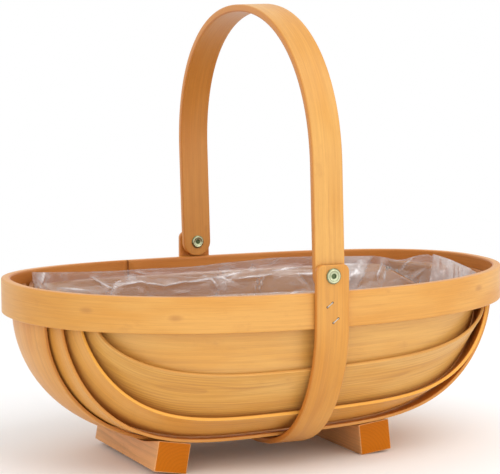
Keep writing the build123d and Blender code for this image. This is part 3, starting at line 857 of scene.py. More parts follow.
class TRUG_OT_handle(bpy.types.Operator):
    """Arched handle that swings on the two pivots"""

    bl_idname = "trug.handle"
    bl_label = "Handle"

    def execute(self, context):
        radius = context.scene.trug_sizes.strip_round / MM
        ends = self.end_steps(radius)
        path = leg(ends, -HANDLE_OUTER, -HANDLE_INNER)
        for k in range(HANDLE_SECTIONS + 1):
            turn = math.pi * k / HANDLE_SECTIONS
            outer, inner = (self.arch(turn, half, top) for half, top in (
                (HANDLE_OUTER, HANDLE_TOP), (HANDLE_INNER, HANDLE_TOP - HANDLE_OUTER + HANDLE_INNER)))
            path.append((outer, inner, HANDLE_WIDTH / 2, (outer - inner).length / 2))
        path += leg(reversed(ends), HANDLE_OUTER, HANDLE_INNER)
        handle = bent_strip("handle_arch_wood", path, (2300.0, 13.0, -19.0), radius)
        pivot = Matrix.Translation((0, 0, MM * PIVOT_HEIGHT))
        handle.data.transform(pivot @ Matrix.Rotation(-HANDLE_LEAN, 4, "Y") @ pivot.inverted())
        # The handle's back colour is painted shade on the inner face of its arch and legs.
        look = board_look((0.99, 1.02, 1.06), figure=0.18, gap=4.2, wander=8.0, streak=0.26, edge_share=0.85,
                          back=(0.82, 0.66, 0.52))
        fit_out(handle, wood_material("handle wood", look), "handle", ["handle_arch"])
        return {"FINISHED"}

    def arch(self, turn, half, top):
        y = -half * power(math.cos(turn), 2 / HANDLE_SQUARENESS)
        z = HANDLE_SPRING + (top - HANDLE_SPRING) * max(math.sin(turn), 0.0) ** (2 / HANDLE_SQUARENESS)
        return Vector((0, y, z))

    def end_steps(self, radius):
        """Heights, half widths and half thicknesses up from the rounded lower end of a leg."""
        low = PIVOT_HEIGHT - HANDLE_END
        thickness = (HANDLE_OUTER - HANDLE_INNER) / 2
        steps = [(low + rise, width, thick) for rise, width, thick in rounded_end(
            HANDLE_WIDTH / 2, HANDLE_END, thickness, radius, 7.5)]
        high = low + HANDLE_END
        for k in range(1, 10):
            steps.append((high + (HANDLE_SPRING - high) * k / 10, HANDLE_WIDTH / 2, thickness))
        return steps


class TRUG_OT_boards(bpy.types.Operator):
    """Centre board and the four lapped boards of each side"""

    bl_idname = "trug.boards"
    bl_label = "Hull boards"

    def execute(self, context):
        radius = context.scene.trug_sizes.board_round / MM
        boards = board_lines()
        # Edge colours are painted light and shade of the boards' narrow faces: darker on the lower and side
        # boards, lighter on the bilge boards where their upper edges catch the light.
        looks = {"lower": board_look((1.06, 1.06, 1.03), figure=0.16, gap=6.0, edge=(0.62, 0.26, 0.05)),
                 "bilge": board_look((1.06, 1.05, 1.0), figure=0.3, gap=5.2, edge=(0.86, 0.42, 0.06),
                                     edge_share=0.8),
                 # The side and top boards' paler, less orange tone is partly their own tone and partly
                 # painted sheen of the lacquer.
                 "side": board_look((1.0, 1.11, 1.26), figure=0.55, gap=2.1, wander=11.0, streak=0.36,
                                    edge=(0.66, 0.32, 0.08)),
                 "top": board_look((1.03, 1.10, 1.12), figure=0.2, gap=6.5, gloss=0.5)}
        self.centre_board(*with_tails(*boards[0]), radius)
        for side, word in ((-1, "near"), (1, "far")):
            for place, (name, lines) in enumerate(zip(looks, boards[1:])):
                upper, lower, normals = lines if name == "top" else with_tails(*lines)
                flip = Vector((1, side, 1))
                strip = Strip(seed=(400.0 * place * side + 77.0, 11.0 * place - 16.0, 21.0 + 6.0 * side))
                for top, bottom, normal in zip(upper, lower, normals):
                    top, bottom, normal = top * flip, bottom * flip, normal * flip
                    across = (bottom - top).normalized()
                    strip.section((top + bottom) / 2, across, normal, (bottom - top).length / 2,
                                  HALF_BOARD, radius)
                piece = skin(f"{word}_{name}_board_wood", strip)
                fit_out(piece, wood_material(f"{name} board wood", looks[name]), "basket",
                        [f"{word}_{name}_board"])
        return {"FINISHED"}

    def centre_board(self, upper, keel, normals, radius):
        """Board whose sections bow from edge to edge through the keel line."""
        strip = Strip(seed=(1500.0, 4.0, -28.0))
        last = len(keel) - 1
        run = 0.0
        for k in range(last + 1):
            step = keel[min(k + 1, last)] - keel[max(k - 1, 0)]
            normal = step.cross(Vector((0, 1, 0))).normalized()
            if normal.dot(Vector((keel[k].x, 0, keel[k].z - RIM_TOP))) < 0:
                normal = -normal
            if k:
                run += (keel[k] - keel[k - 1]).length
            points, grains, edges = self.bowed_ring(upper[k], keel[k], normal, radius)
            strip.ring(points, grains, edges, run)
        piece = skin("centre_board_wood", strip)
        # The centre board's dark edge colour is painted shade of the seams between it and the lower boards.
        look = board_look((1.0, 0.93, 0.85), figure=0.25, gap=5.0, edge=(0.42, 0.15, 0.03))
        fit_out(piece, wood_material("centre board wood", look), "basket", ["centre_board"])

    def bowed_ring(self, edge, keel, normal, radius):
        """Ring along a shallow arc from the near edge through the keel to the far edge and back."""
        half = edge.y
        across_arc = Vector((edge.x - keel.x, 0, edge.z - keel.z))
        sweep = 14
        outs, backs = [], []
        for k in range(sweep + 1):
            share = -1 + 2 * k / sweep
            middle = keel + across_arc * share ** 2 + Vector((0, share * half, 0))
            outs.append((middle + normal * HALF_BOARD, (share * half, HALF_BOARD)))
            backs.append((middle - normal * HALF_BOARD, (share * half, -HALF_BOARD)))
        outs = self.eased(outs, normal, radius)
        backs = self.eased(backs, -normal, radius)
        ring = outs + backs[::-1]
        edges = [0.0] * (len(outs) - 1) + [1.0] + [0.0] * (len(backs) - 1) + [1.0]
        return [point for point, _ in ring], [grain for _, grain in ring], edges

    def eased(self, row, normal, radius):
        """Rounds the two ends of one face of the board."""
        (first, grain_a), (second, _) = row[0], row[1]
        (last, grain_b), (before, _) = row[-1], row[-2]
        inward_a, inward_b = (second - first).normalized(), (before - last).normalized()
        sag = radius * (1 - math.cos(math.radians(45)))
        row = row[1:-1]
        head = [(first - normal * radius, grain_a), (first + inward_a * sag - normal * sag, grain_a),
                (first + inward_a * radius, grain_a), (first + inward_a * radius * 1.8, grain_a)]
        tail = [(last + inward_b * radius * 1.8, grain_b), (last + inward_b * radius, grain_b),
                (last + inward_b * sag - normal * sag, grain_b), (last - normal * radius, grain_b)]
        return head + row + tail


class TRUG_OT_feet(bpy.types.Operator):
    """Two cross feet hollowed to the hull"""

    bl_idname = "trug.feet"
    bl_label = "Feet"

    def execute(self, context):
        finish = context.scene.trug_finish
        radius = context.scene.trug_sizes.foot_round / MM
        foot_wood = tuple(finish.foot_wood)
        look = board_look(light=foot_wood, warm=shaded(foot_wood, 0.85), line=shaded(foot_wood, 0.4),
                          cut=tuple(finish.foot_cut), figure=0.3, gap=3.4, gloss=0.06, back=(1.0, 1.0, 1.0))
        material = wood_material("foot wood", look)
        for node, place in FOOT_PLACES.items():
            foot = skin(f"{node}_wood", self.bar(place, radius))
            fit_out(foot, material, "basket", [node])
        return {"FINISHED"}

    def bar(self, place, radius):
        """Rings across the basket, each a rounded oblong from the ground up to the hull."""
        outside, tilt = keel_frame(place)
        lean = abs(tilt)
        depth = (outside.z + FOOT_WEAR - FOOT_WIDTH / 2 * math.sin(lean)) / math.cos(lean)
        curves = [centre_curve()] + [edge_curve(index) for index in range(3)]
        hull = [edge_at(curve, place) for curve in curves]
        rises = [(point.y, (point.z - hull[0].z) * math.cos(lean) - FOOT_CLEARANCE) for point in hull]
        turned = Matrix.Translation(outside) @ Matrix.Rotation(-tilt, 4, "Y")
        strip = Strip(seed=(place * 9, 20.0 if place > 0 else -14.0, 26.0))
        half = FOOT_LENGTH / 2
        count = 40
        spots = [-half, -half + 0.3 * radius, -half + radius]
        spots += [-half + radius + (FOOT_LENGTH - 2 * radius) * k / count for k in range(1, count)]
        spots += [half - radius, half - 0.3 * radius, half]
        for y in spots:
            inside = min(half - abs(y), radius)
            ease = radius - math.sqrt(max(radius ** 2 - (radius - inside) ** 2, 0))
            top = self.height(rises, abs(y)) - ease
            low, wide = -depth + ease, FOOT_WIDTH / 2 - ease
            profile = rounded_profile(wide, (top - low) / 2, radius)
            centre = (top + low) / 2
            points = [turned @ Vector((a, y, centre + t)) for (a, t), _ in profile]
            points = [Vector((point.x, point.y, max(point.z, 0.0))) for point in points]
            strip.ring(points, [(a, centre + t) for (a, t), _ in profile], [0.0] * len(profile), y)
        return strip

    def height(self, rises, y):
        """Height of the hollowed top at a distance from the middle."""
        for (y0, z0), (y1, z1) in zip(rises, rises[1:]):
            if y <= y1:
                return z0 + (z1 - z0) * (y - y0) / (y1 - y0)
        return rises[-1][1]


def lathe(name, profile, socket, sides=48):
    """Turned head with its axis along Z and a six-sided socket in the middle.

    The profile is (radius, height, painted shade) points, the shade darkening the head's underside and
    grooves. The socket is half its width across flats, then the heights of its floor and its mouth.
    """
    half_flats, floor, mouth = socket
    rings, shades = [], []
    for radius, height, shade in profile:
        rings.append([(radius, height)] * sides)
        shades.extend([shade] * sides)
    # The socket's mouth and floor get full painted shade.
    for height in (mouth, floor):
        shades.extend([1.0] * sides)
        hexagon = []
        for k in range(sides):
            turn = (360 * k / sides) % 60 - 30
            hexagon.append((half_flats / math.cos(math.radians(turn)), height))
        rings.append(hexagon)
    verts = []
    for ring in rings:
        for k, (radius, height) in enumerate(ring):
            turn = 2 * math.pi * k / sides
            verts.append((MM * radius * math.cos(turn), MM * radius * math.sin(turn), MM * height))
    faces = quads(len(rings), sides)
    faces += [tuple(first + k for k in range(sides)) for first in (0, (len(rings) - 1) * sides)]
    mesh = new_mesh(name, verts, faces)
    mark(mesh, "recess_shade", "POINT", shades)
    tidy(mesh)
    smooth(mesh, 38)
    return new_object(name, mesh)


class TRUG_OT_pivots(bpy.types.Operator):
    """Pivot bolts outside the strap and their cap nuts inside the handle"""

    bl_idname = "trug.pivots"
    bl_label = "Pivots"

    def execute(self, context):
        finish = context.scene.trug_finish
        # The dark colour serves the plating's tarnish and the painted shade in its recesses.
        metal = metal_material("pivot plating", tuple(finish.plating), 0.27, (0.10, 0.13, 0.06),
                               (900.0, 900.0, 900.0))
        stack, top = STRAP_OUTER - HANDLE_INNER, HEAD_HEIGHT
        for side, word in ((-1, "near"), (1, "far")):
            for part, reach, shank, seat, turn in (
                    ("bolt", BOLT_HEAD, BOLT_SHANK, side * (STRAP_OUTER + SEAT_CLEARANCE), -90 * side),
                    ("nut", NUT_HEAD, NUT_SLEEVE, side * (HANDLE_INNER - SEAT_CLEARANCE), 90 * side)):
                # Third value of each point: painted shade, full under the head, partial in the crown's
                # groove, slight on the crown.
                profile = [(shank - 0.3, -stack, 0.6), (shank, -stack + 0.3, 0.6), (shank, -0.05, 0.6),
                           (shank + 0.3, 0.0, 1.0), (reach - 0.25, 0.0, 1.0), (reach, 0.25, 0.95),
                           (reach, 0.7, 0.8), (reach - 0.5, 1.05, 0.75), (reach - 0.8, 1.15, 0.6)]
                for k in range(7):
                    bend = math.radians(15 * k)
                    inset, sunk = HEAD_ROUND * (1 - math.cos(bend)), HEAD_ROUND * (1 - math.sin(bend))
                    profile.append((reach - 0.8 - inset, top - sunk, 0.3 - 0.05 * k))
                profile += [(reach - 2.1, top - 0.1, 0.05), (reach - 2.6, top - 0.5, 0.5),
                            (reach - 3.0, top - 0.62, 0.35), (3.1, top - 0.66, 0.1), (2.5, top - 0.7, 0.75)]
                piece = lathe(f"{word}_pivot_{part}_plated", profile,
                              (SOCKET_HALF_WIDTH, SOCKET_FLOOR, top - 0.95))
                place = Matrix.Translation((0, MM * seat, MM * PIVOT_HEIGHT))
                piece.data.transform(place @ Matrix.Rotation(math.radians(turn), 4, "X") @
                                     Matrix.Rotation(SOCKET_TURN, 4, "Z"))
                fit_out(piece, metal, "basket", [f"{word}_pivot_{part}"])
        return {"FINISHED"}


# Fastenings: places in the wood, then one node tree for nails and one for staples

def mirrored(point, side):
    return Vector((point.x, side * point.y, point.z))


def rim_nail_places(boards):
    """Head place and inward axis of the nail at each end of every board, on both sides."""
    places = []
    for index, (upper, lower, normals) in enumerate(boards):
        for end in (0, -1):
            down = (lower[end] - upper[end]).normalized()
            spot = upper[end] + down * NAIL_FROM_EDGE - normals[end] * (HALF_BOARD + PILOT_CLEARANCE)
            if index < len(boards) - 1:
                spot = spot + Vector((0, 0, BOARD_TAIL / 2))
            places += [(mirrored(spot, side), mirrored(-normals[end], side)) for side in (-1, 1)]
    return places


def keel_nail_places(x):
    """Head place and inward axis of the two nails through the centre board at a given x."""
    outside, tilt = keel_frame(x)
    up = Vector((-math.sin(tilt), 0, math.cos(tilt)))
    spot = outside + up * (BOARD_THICKNESS + SEAT_CLEARANCE + PILOT_CLEARANCE)
    return [(spot + Vector((0, side * NAIL_FROM_MIDDLE, 0)), up) for side in (-1, 1)]


def socketed_tree(name, inputs):
    """Geometry node tree with a mesh in, a mesh out and named inputs for sizes."""
    tree = bpy.data.node_groups.new(name, "GeometryNodeTree")
    tree.interface.new_socket("Geometry", in_out="INPUT", socket_type="NodeSocketGeometry")
    for label, kind, value in inputs:
        socket = tree.interface.new_socket(label, in_out="INPUT", socket_type=kind)
        if value is not None:
            socket.default_value = value
    tree.interface.new_socket("Geometry", in_out="OUTPUT", socket_type="NodeSocketGeometry")
    return tree, tree.nodes.new("NodeGroupInput"), tree.nodes.new("NodeGroupOutput")


def place_shapes(tree, group, result, shape):
    """Puts a shape on every point, its Z along the point's axis and its X along the point's side."""
    axis = add(tree, "GeometryNodeInputNamedAttribute", {"Name": "axis"}, data_type="FLOAT_VECTOR").outputs[0]
    side = add(tree, "GeometryNodeInputNamedAttribute", {"Name": "side"}, data_type="FLOAT_VECTOR").outputs[0]
    upright = add(tree, "FunctionNodeAlignRotationToVector", {"Vector": axis}, axis="Z")
    turned = add(tree, "FunctionNodeAlignRotationToVector", {"Rotation": upright.outputs[0], "Vector": side},
                 axis="X", pivot_axis="Z")
    copies = add(tree, "GeometryNodeInstanceOnPoints", {
        "Points": group.outputs["Geometry"], "Instance": shape, "Rotation": turned.outputs[0]})
    real = add(tree, "GeometryNodeRealizeInstances", {"Geometry": copies.outputs[0]})
    coloured = add(tree, "GeometryNodeSetMaterial", {"Geometry": real.outputs[0],
                                                     "Material": group.outputs["Material"]})
    tree.links.new(coloured.outputs[0], result.inputs["Geometry"])


def shifted(tree, shape, place):
    """Shape moved to the place that another node gives."""
    return add(tree, "GeometryNodeTransform", {"Geometry": shape.outputs[0], "Translation": place.outputs[0]})


def nail_tree():
    """Flat-headed nail on each point: a turned profile swept round a circle."""
    tree, group, result = socketed_tree("Nails", (
        ("Head", "NodeSocketFloat", 0.0042), ("Shank", "NodeSocketFloat", 0.0016),
        ("Length", "NodeSocketFloat", 0.012), ("Head height", "NodeSocketFloat", 0.0007),
        ("Material", "NodeSocketMaterial", None)))
    head_radius = times(tree, group.outputs["Head"], 0.5)
    shank_radius = times(tree, group.outputs["Shank"], 0.5)
    half_head = times(tree, group.outputs["Head height"], 0.5)
    rim_radius = times(tree, head_radius, 0.86)
    lower, upper = (
        add(tree, "GeometryNodeMeshCone", {"Vertices": 14, "Radius Top": top, "Radius Bottom": bottom,
                                           "Depth": half_head})
        for top, bottom in ((head_radius, rim_radius), (rim_radius, head_radius)))
    raised = shifted(tree, upper, add(tree, "ShaderNodeCombineXYZ", {2: half_head}))
    shank = add(tree, "GeometryNodeMeshCylinder", {"Vertices": 10, "Radius": shank_radius,
                                                   "Depth": group.outputs["Length"]})
    drop = add(tree, "ShaderNodeCombineXYZ", {2: times(tree, group.outputs["Length"], -0.5)})
    sunk = shifted(tree, shank, drop)
    joined = tree.nodes.new("GeometryNodeJoinGeometry")
    for part in (lower, raised, sunk):
        tree.links.new(part.outputs[0], joined.inputs[0])
    place_shapes(tree, group, result, joined.outputs[0])
    return tree


def staple_tree():
    """Wire staple on each point: a bent line with a round wire swept along it, and a dark disc of painted
    shade at each leg hole.
    """
    tree, group, result = socketed_tree("Staples", (
        ("Crown", "NodeSocketFloat", 0.0075), ("Wire", "NodeSocketFloat", 0.0011),
        ("Leg", "NodeSocketFloat", 0.009), ("Material", "NodeSocketMaterial", None)))
    spread = times(tree, maths(tree, "SUBTRACT", group.outputs["Crown"], group.outputs["Wire"]), 0.5)
    radius = times(tree, group.outputs["Wire"], 0.5)
    down = times(tree, group.outputs["Leg"], -1.0)
    corners = []
    for sign, height in ((-1.0, down), (-1.0, radius), (1.0, radius), (1.0, down)):
        corners.append(add(tree, "ShaderNodeCombineXYZ", {0: times(tree, spread, sign), 2: height}))
    joined = tree.nodes.new("GeometryNodeJoinGeometry")
    ring = add(tree, "GeometryNodeCurvePrimitiveCircle", {"Resolution": 10, "Radius": radius})
    for start, end in zip(corners, corners[1:]):
        line = add(tree, "GeometryNodeCurvePrimitiveLine", {"Start": start.outputs[0], "End": end.outputs[0]})
        wire = add(tree, "GeometryNodeCurveToMesh", {
            "Curve": line.outputs[0], "Profile Curve": ring.outputs[0], "Fill Caps": True})
        tree.links.new(wire.outputs[0], joined.inputs[0])
    # Thin disc marked as hole: painted shade where each leg goes into the wood.
    flag = add(tree, "GeometryNodeMeshCylinder", {"Vertices": 12, "Radius": times(tree, radius, 2.1),
                                                  "Depth": 0.00012})
    marked = add(tree, "GeometryNodeStoreNamedAttribute", {
        "Geometry": flag.outputs[0], "Name": "hole", "Value": 1.0}, data_type="FLOAT", domain="POINT")
    for sign in (-1.04, 1.04):
        foot = add(tree, "ShaderNodeCombineXYZ", {0: times(tree, spread, sign), 2: 0.00036})
        tree.links.new(shifted(tree, marked, foot).outputs[0], joined.inputs[0])
    for corner in corners[1:3]:
        ball = add(tree, "GeometryNodeMeshUVSphere", {"Segments": 10, "Rings": 6, "Radius": radius})
        tree.links.new(shifted(tree, ball, corner).outputs[0], joined.inputs[0])
    place_shapes(tree, group, result, joined.outputs[0])
    return tree


def scatter(name, places, tree, settings):
    """Mesh of one shape at each (point, axis, side) place, made by a node tree."""
    mesh = new_mesh(name + "_points", [tuple(MM * point) for point, _, _ in places], [])
    for label, index in (("axis", 1), ("side", 2)):
        mark(mesh, label, "POINT", [value for place in places for value in place[index]], vector=True)
    holder = new_object(name + "_points", mesh)
    modifier = holder.modifiers.new("shapes", "NODES")
    modifier.node_group = tree
    for item in tree.interface.items_tree:
        if item.item_type == "SOCKET" and item.in_out == "INPUT" and item.name in settings:
            modifier[item.identifier] = settings[item.name]
    holder.update_tag()
    graph = bpy.context.evaluated_depsgraph_get()
    made = bpy.data.meshes.new_from_object(holder.evaluated_get(graph))
    bpy.data.objects.remove(holder)
    made.name = name
    smooth(made, 40)
    return new_object(name, made)


class TRUG_OT_fastenings(bpy.types.Operator):
    """Nails at the board ends and in the feet, and the strap's staples"""

    bl_idname = "trug.fastenings"
    bl_label = "Nails and staples"

    def execute(self, context):
        sizes, finish = context.scene.trug_sizes, context.scene.trug_finish
        steel = metal_material("wire steel", tuple(finish.wire), 0.32, (0.34, 0.31, 0.26),
                               (400.0, 400.0, 2600.0))
        nails, boards = nail_tree(), board_lines()
        in_feet = [spot for x in FOOT_PLACES.values() for spot in keel_nail_places(x)]
        sets = (("rim_nails", rim_nail_places(boards), RIM_NAIL_LENGTH),
                ("foot_nails", in_feet, FOOT_NAIL_LENGTH),
                ("strap_nails", keel_nail_places(0.0), STRAP_NAIL_LENGTH))
        for node, places, length in sets:
            spots = [(spot, axis, axis.orthogonal().normalized()) for spot, axis in places]
            piece = scatter(f"{node}_steel", spots, nails, {
                "Head": sizes.nail_head, "Shank": sizes.nail_shank, "Length": MM * length, "Material": steel})
            fit_out(piece, steel, "basket", [node])
        slant = Vector((math.cos(STAPLE_SLANT), 0, math.sin(STAPLE_SLANT)))
        reach = STRAP_OUTER - STAPLE_SINK
        spots = [(Vector((across * STRAP_WIDTH, side * reach, RIM_TOP - drop * RIM_HEIGHT)),
                  Vector((0, side, 0)), slant) for side in (-1, 1) for drop, across in STAPLE_PLACES]
        piece = scatter("strap_staples_steel", spots, staple_tree(), {
            "Crown": sizes.staple_crown, "Wire": sizes.staple_wire, "Leg": MM * STAPLE_LEG,
            "Material": steel})
        fit_out(piece, steel, "basket", ["strap_staples"])
        return {"FINISHED"}


# Film liner

FILM_FLOOR = 33.0
FILM_ROUND = 500
FILM_WALL_ROWS = 36
FILM_LOW_ROWS = 40
FILM_WALL_END = 138.0
FILM_SEED = 7
FILM_LOOSE_CREASES = 430
# Metres: how far off the wood the film stays, and how the search for the wood starts, reaches and steps on
FILM_CLEARANCE = 0.0009
PROBE_BACK = 0.0004
PROBE_REACH = 0.024
PROBE_STEP = 0.00005
# Oval cut of the film in metres: the solid liner's girth of 0.473 by 0.627, and a little for the creases
FILM_EDGE = ((231.5, 40.0, 184.5), (229.5, 2.0, 183.0), (228.0, -45.0, 178.0), (215.0, -84.0, 176.0),
             (190.0, -112.0, 174.0), (150.0, -132.0, 173.0), (60.0, -150.0, 172.0), (-60.0, -150.0, 172.0),
             (-150.0, -131.0, 172.0), (-206.0, -84.0, 173.0), (-215.0, -40.0, 173.0), (-217.0, 22.0, 174.0),
             (-217.5, 60.0, 181.0), (-216.0, 82.0, 184.5), (-211.0, 96.0, 183.0), (-199.0, 106.5, 180.5),
             (-146.0, 133.0, 175.0), (-106.0, 144.0, 172.4), (-67.0, 150.0, 172.0), (-28.5, 152.5, 171.0),
             (0.0, 153.0, 171.2), (29.0, 152.5, 173.3), (60.0, 150.5, 174.5), (88.0, 147.0, 176.6),
             (124.0, 139.6, 176.8), (167.0, 124.6, 176.2), (183.0, 116.5, 176.8), (201.0, 103.0, 177.2),
             (210.5, 94.5, 173.6), (216.0, 87.0, 173.0), (221.5, 74.0, 177.5), (226.5, 58.0, 182.5),
             (229.5, 49.0, 184.0), (230.8, 43.5, 181.5))
# Creases of the film: angle round the basket in degrees, height, slant in degrees, half length, width, depth
FILM_CREASES = ((141.0, 158.0, -8.0, 22.0, 5.0, 2.6), (131.0, 160.5, -38.0, 15.0, 5.0, 3.4),
                (127.0, 156.0, 40.0, 13.0, 5.0, -2.6), (121.0, 159.0, 6.0, 20.0, 5.0, 3.0),
                (112.0, 156.0, -14.0, 16.0, 5.5, 2.4), (103.0, 155.0, 10.0, 20.0, 5.0, 2.8),
                (90.0, 157.0, 4.0, 24.0, 5.0, 3.0), (84.0, 153.0, -60.0, 10.0, 4.0, 3.0),
                (77.0, 160.0, 12.0, 18.0, 5.0, 3.0), (66.0, 158.0, 2.0, 26.0, 5.0, 2.8),
                (63.5, 150.0, 70.0, 12.0, 5.0, 3.2), (55.0, 164.0, 5.0, 20.0, 4.5, 2.2),
                (45.0, 158.0, 0.0, 24.0, 5.0, 2.4), (33.5, 160.0, 62.0, 15.0, 5.0, 2.8),
                (27.0, 160.0, 84.0, 16.0, 5.0, 3.0), (25.0, 157.0, 80.0, 14.0, 4.0, -2.4),
                (19.0, 170.0, 40.0, 12.0, 5.0, 2.2), (152.0, 172.0, 50.0, 12.0, 5.0, 2.6))


class TRUG_OT_liner(bpy.types.Operator):
    """Crumpled clear film that lines the basket"""

    bl_idname = "trug.liner"
    bl_label = "Film liner"

    def execute(self, context):
        depth = context.scene.trug_sizes.crease_depth / MM
        edge = self.edge_line()
        rows = [self.wall_row(edge, k / FILM_WALL_ROWS) for k in range(FILM_WALL_ROWS + 1)]
        rows += [self.low_row(edge, k / FILM_LOW_ROWS) for k in range(1, FILM_LOW_ROWS)]
        points = numpy.array(rows)
        around = numpy.cumsum(numpy.linalg.norm(edge - numpy.roll(edge, 1, axis=0), axis=1))
        downs = numpy.cumsum([0.0] + [numpy.linalg.norm(after - before, axis=1).mean()
                                      for before, after in zip(points, points[1:])])
        along, down = numpy.meshgrid(around, downs)
        height, haze_and_glint = self.crumple(along, down, points, depth)
        turn = numpy.arctan2(points[..., 1], points[..., 0])
        inward = numpy.stack([-numpy.cos(turn), -numpy.sin(turn), numpy.zeros_like(turn)], axis=-1)
        flat_share = numpy.clip((down - 70.0) / 90.0, 0.0, 1.0)[..., None]
        push = inward * (1 - flat_share) + numpy.array([0.0, 0.0, 1.0]) * flat_share
        points = self.clear_of_wood(points + push * height[..., None], push)
        layers = self.layers(numpy.degrees(turn), points)
        flat = numpy.stack([along, down, height], axis=-1)
        film = self.mesh(points, flat, haze_and_glint, layers)
        fit_out(film, film_material(), "basket", ["liner"])
        return {"FINISHED"}

    def edge_line(self):
        """Evenly spaced points of the film's upper edge, eased except at its corners."""
        line = numpy.array(FILM_EDGE + FILM_EDGE[:1])
        runs = numpy.concatenate([[0.0], numpy.cumsum(numpy.linalg.norm(numpy.diff(line, axis=0), axis=1))])
        spots = numpy.linspace(0.0, runs[-1], FILM_ROUND, endpoint=False)
        edge = numpy.stack([numpy.interp(spots, runs, line[:, axis]) for axis in range(3)], axis=1)
        eased = sum(numpy.roll(edge, shift, axis=0) for shift in range(-4, 5)) / 9
        corner = numpy.exp(-((edge - line[0]) ** 2).sum(axis=1) / 90.0)[:, None]
        return edge * corner + eased * (1 - corner)

    def wall_row(self, edge, share):
        """Row of the upright part, which steps inwards where the film folds over the top board."""
        turn = numpy.arctan2(edge[:, 1], edge[:, 0])
        z = edge[:, 2] + (FILM_WALL_END - edge[:, 2]) * share
        fold = 159.0 + 3.0 * numpy.sin(turn * 7 + 0.6) + 7.0 * numpy.clip(numpy.cos(turn) - 0.7, 0, 1) / 0.3
        step = 1 / (1 + numpy.exp(-(fold - z) / 1.3))
        side = numpy.clip(2.6 * numpy.abs(numpy.sin(turn)) - 0.45, 0.0, 1.0)
        inset = side * (7.5 * step + 1.5 * numpy.clip((fold - z) / 20.0, 0, 1)) + (1 - side) * 9.0 * share
        return self.moved_in(edge, inset, z)

    def moved_in(self, edge, inset, z):
        reach = numpy.hypot(edge[:, 0], edge[:, 1])
        scale = (reach - inset) / reach
        return numpy.stack([edge[:, 0] * scale, edge[:, 1] * scale, z], axis=1)

    def low_row(self, edge, share):
        """Row below the wall, rounding into the floor of the hull."""
        top = self.wall_row(edge, 1.0)
        turn = numpy.arctan2(top[:, 1], top[:, 0])
        bend = share * math.pi / 2
        sink = math.cos(bend)
        z = FILM_WALL_END + (FILM_FLOOR - FILM_WALL_END) * math.sin(bend) ** 1.3
        level = max(1 - ((BOARD_SPRING - z) / (BOARD_SPRING - FILM_FLOOR + 6)) ** (1 / CENTRE_DEPTH), 0.0)
        long = (RIM_HALF_LENGTH - 32.0) * level ** (1 / CENTRE_FULLNESS)
        rise = 1.0
        if z < STRAP_SHOULDER:
            rise = max(1 - ((STRAP_SHOULDER - z) / (STRAP_SHOULDER - FILM_FLOOR + 8)) ** STRAP_DROP, 0.0)
        wide = (RIM_HALF_WIDTH - 23.0) * rise ** (1 / STRAP_SIDE)
        c, s = numpy.abs(numpy.cos(turn)), numpy.abs(numpy.sin(turn))
        hull = ((c / max(long, 1.0)) ** 2.3 + (s / max(wide, 1.0)) ** 2.3) ** (-1 / 2.3)
        bag = numpy.hypot(top[:, 0], top[:, 1]) * sink ** 0.4
        reach = (hull ** -12 + bag ** -12) ** (-1 / 12)
        reach = reach * min(1.0, sink * 4)
        slope = HULL_TRIM * reach * numpy.cos(turn) * share
        return numpy.stack([reach * numpy.cos(turn), reach * numpy.sin(turn), z + slope], axis=1)

    def clear_of_wood(self, points, push):
        """Moves points that lie in or behind the boards and the rim to just inside them."""
        verts, faces = [], []
        for piece in bpy.context.scene.objects:
            if piece.name.endswith(("board_wood", "band_wood")):
                first = len(verts)
                verts.extend(vertex.co.copy() for vertex in piece.data.vertices)
                faces.extend([first + index for index in face.vertices] for face in piece.data.polygons)
        wood = BVHTree.FromPolygons(verts, faces)
        cleared = points.reshape(-1, 3).copy()
        for index, way in enumerate(push.reshape(-1, 3)):
            way = Vector(way).normalized()
            start, found = Vector(cleared[index]) * MM - way * PROBE_BACK, None
            for _ in range(8):
                hit = wood.ray_cast(start, way, PROBE_REACH)[0]
                if hit is None:
                    break
                found, start = hit, hit + way * PROBE_STEP
            if found is not None:
                cleared[index] = (found + way * FILM_CLEARANCE) / MM
        return cleared.reshape(points.shape)

    def crumple(self, along, down, points, depth):
        """Depth of the crumpling at each point and how white its ridges are, partly haze and partly painted
        highlight.
        """
        dice = random.Random(FILM_SEED)
        height, haze_and_glint = numpy.zeros_like(along), numpy.zeros_like(along)
        folds = []
        degrees = numpy.degrees(numpy.arctan2(points[..., 1], points[..., 0])) % 360
        for angle, z, slant, half, width, rise in FILM_CREASES:
            miss = (degrees - angle) ** 2 * 6 + (points[..., 2] - z) ** 2
            spot = numpy.unravel_index(miss.argmin(), miss.shape)
            folds.append((along[spot], down[spot], slant, half, width, rise, 1.0))
        total, deepest = along[0, -1], float(down[-1, 0])
        for _ in range(FILM_LOOSE_CREASES):
            size = dice.uniform(0.35, 1.0)
            slant = dice.gauss(0, 34) if dice.random() < 0.7 else dice.uniform(60, 120)
            folds.append((dice.uniform(0, total), dice.uniform(4, deepest), slant, 20 * size,
                          5.5 * size, depth * size * dice.choice((-0.7, 1.0, 1.0)), dice.uniform(0.1, 0.75)))
        for spot, low, slant, half, width, rise, shine in folds:
            turn = math.radians(slant)
            dx = (along - spot + total / 2) % total - total / 2
            dy = down - low
            run = (dx * math.cos(turn) - dy * math.sin(turn)) / half
            side = (dx * math.sin(turn) + dy * math.cos(turn)) / width
            taper = numpy.clip(1 - run * run, 0.0, 1.0)
            ridge = numpy.clip(1 - numpy.abs(side), 0.0, 1.0)
            height += rise * taper * ridge
            haze_and_glint = numpy.maximum(haze_and_glint, shine * taper * numpy.clip(1 - numpy.abs(side) * 2.6, 0.0, 1.0))
        start = numpy.clip(down / 6.0, 0.15, 1.0)
        return numpy.clip(height * start, -1.2, 7.0), haze_and_glint

    def layers(self, degrees, points):
        """Share of doubled, milky film: right end flap, panel beside the strap and left corner."""
        def band(value, low, high, soft):
            return numpy.clip((value - low) / soft, 0, 1) * numpy.clip((high - value) / soft, 0, 1)

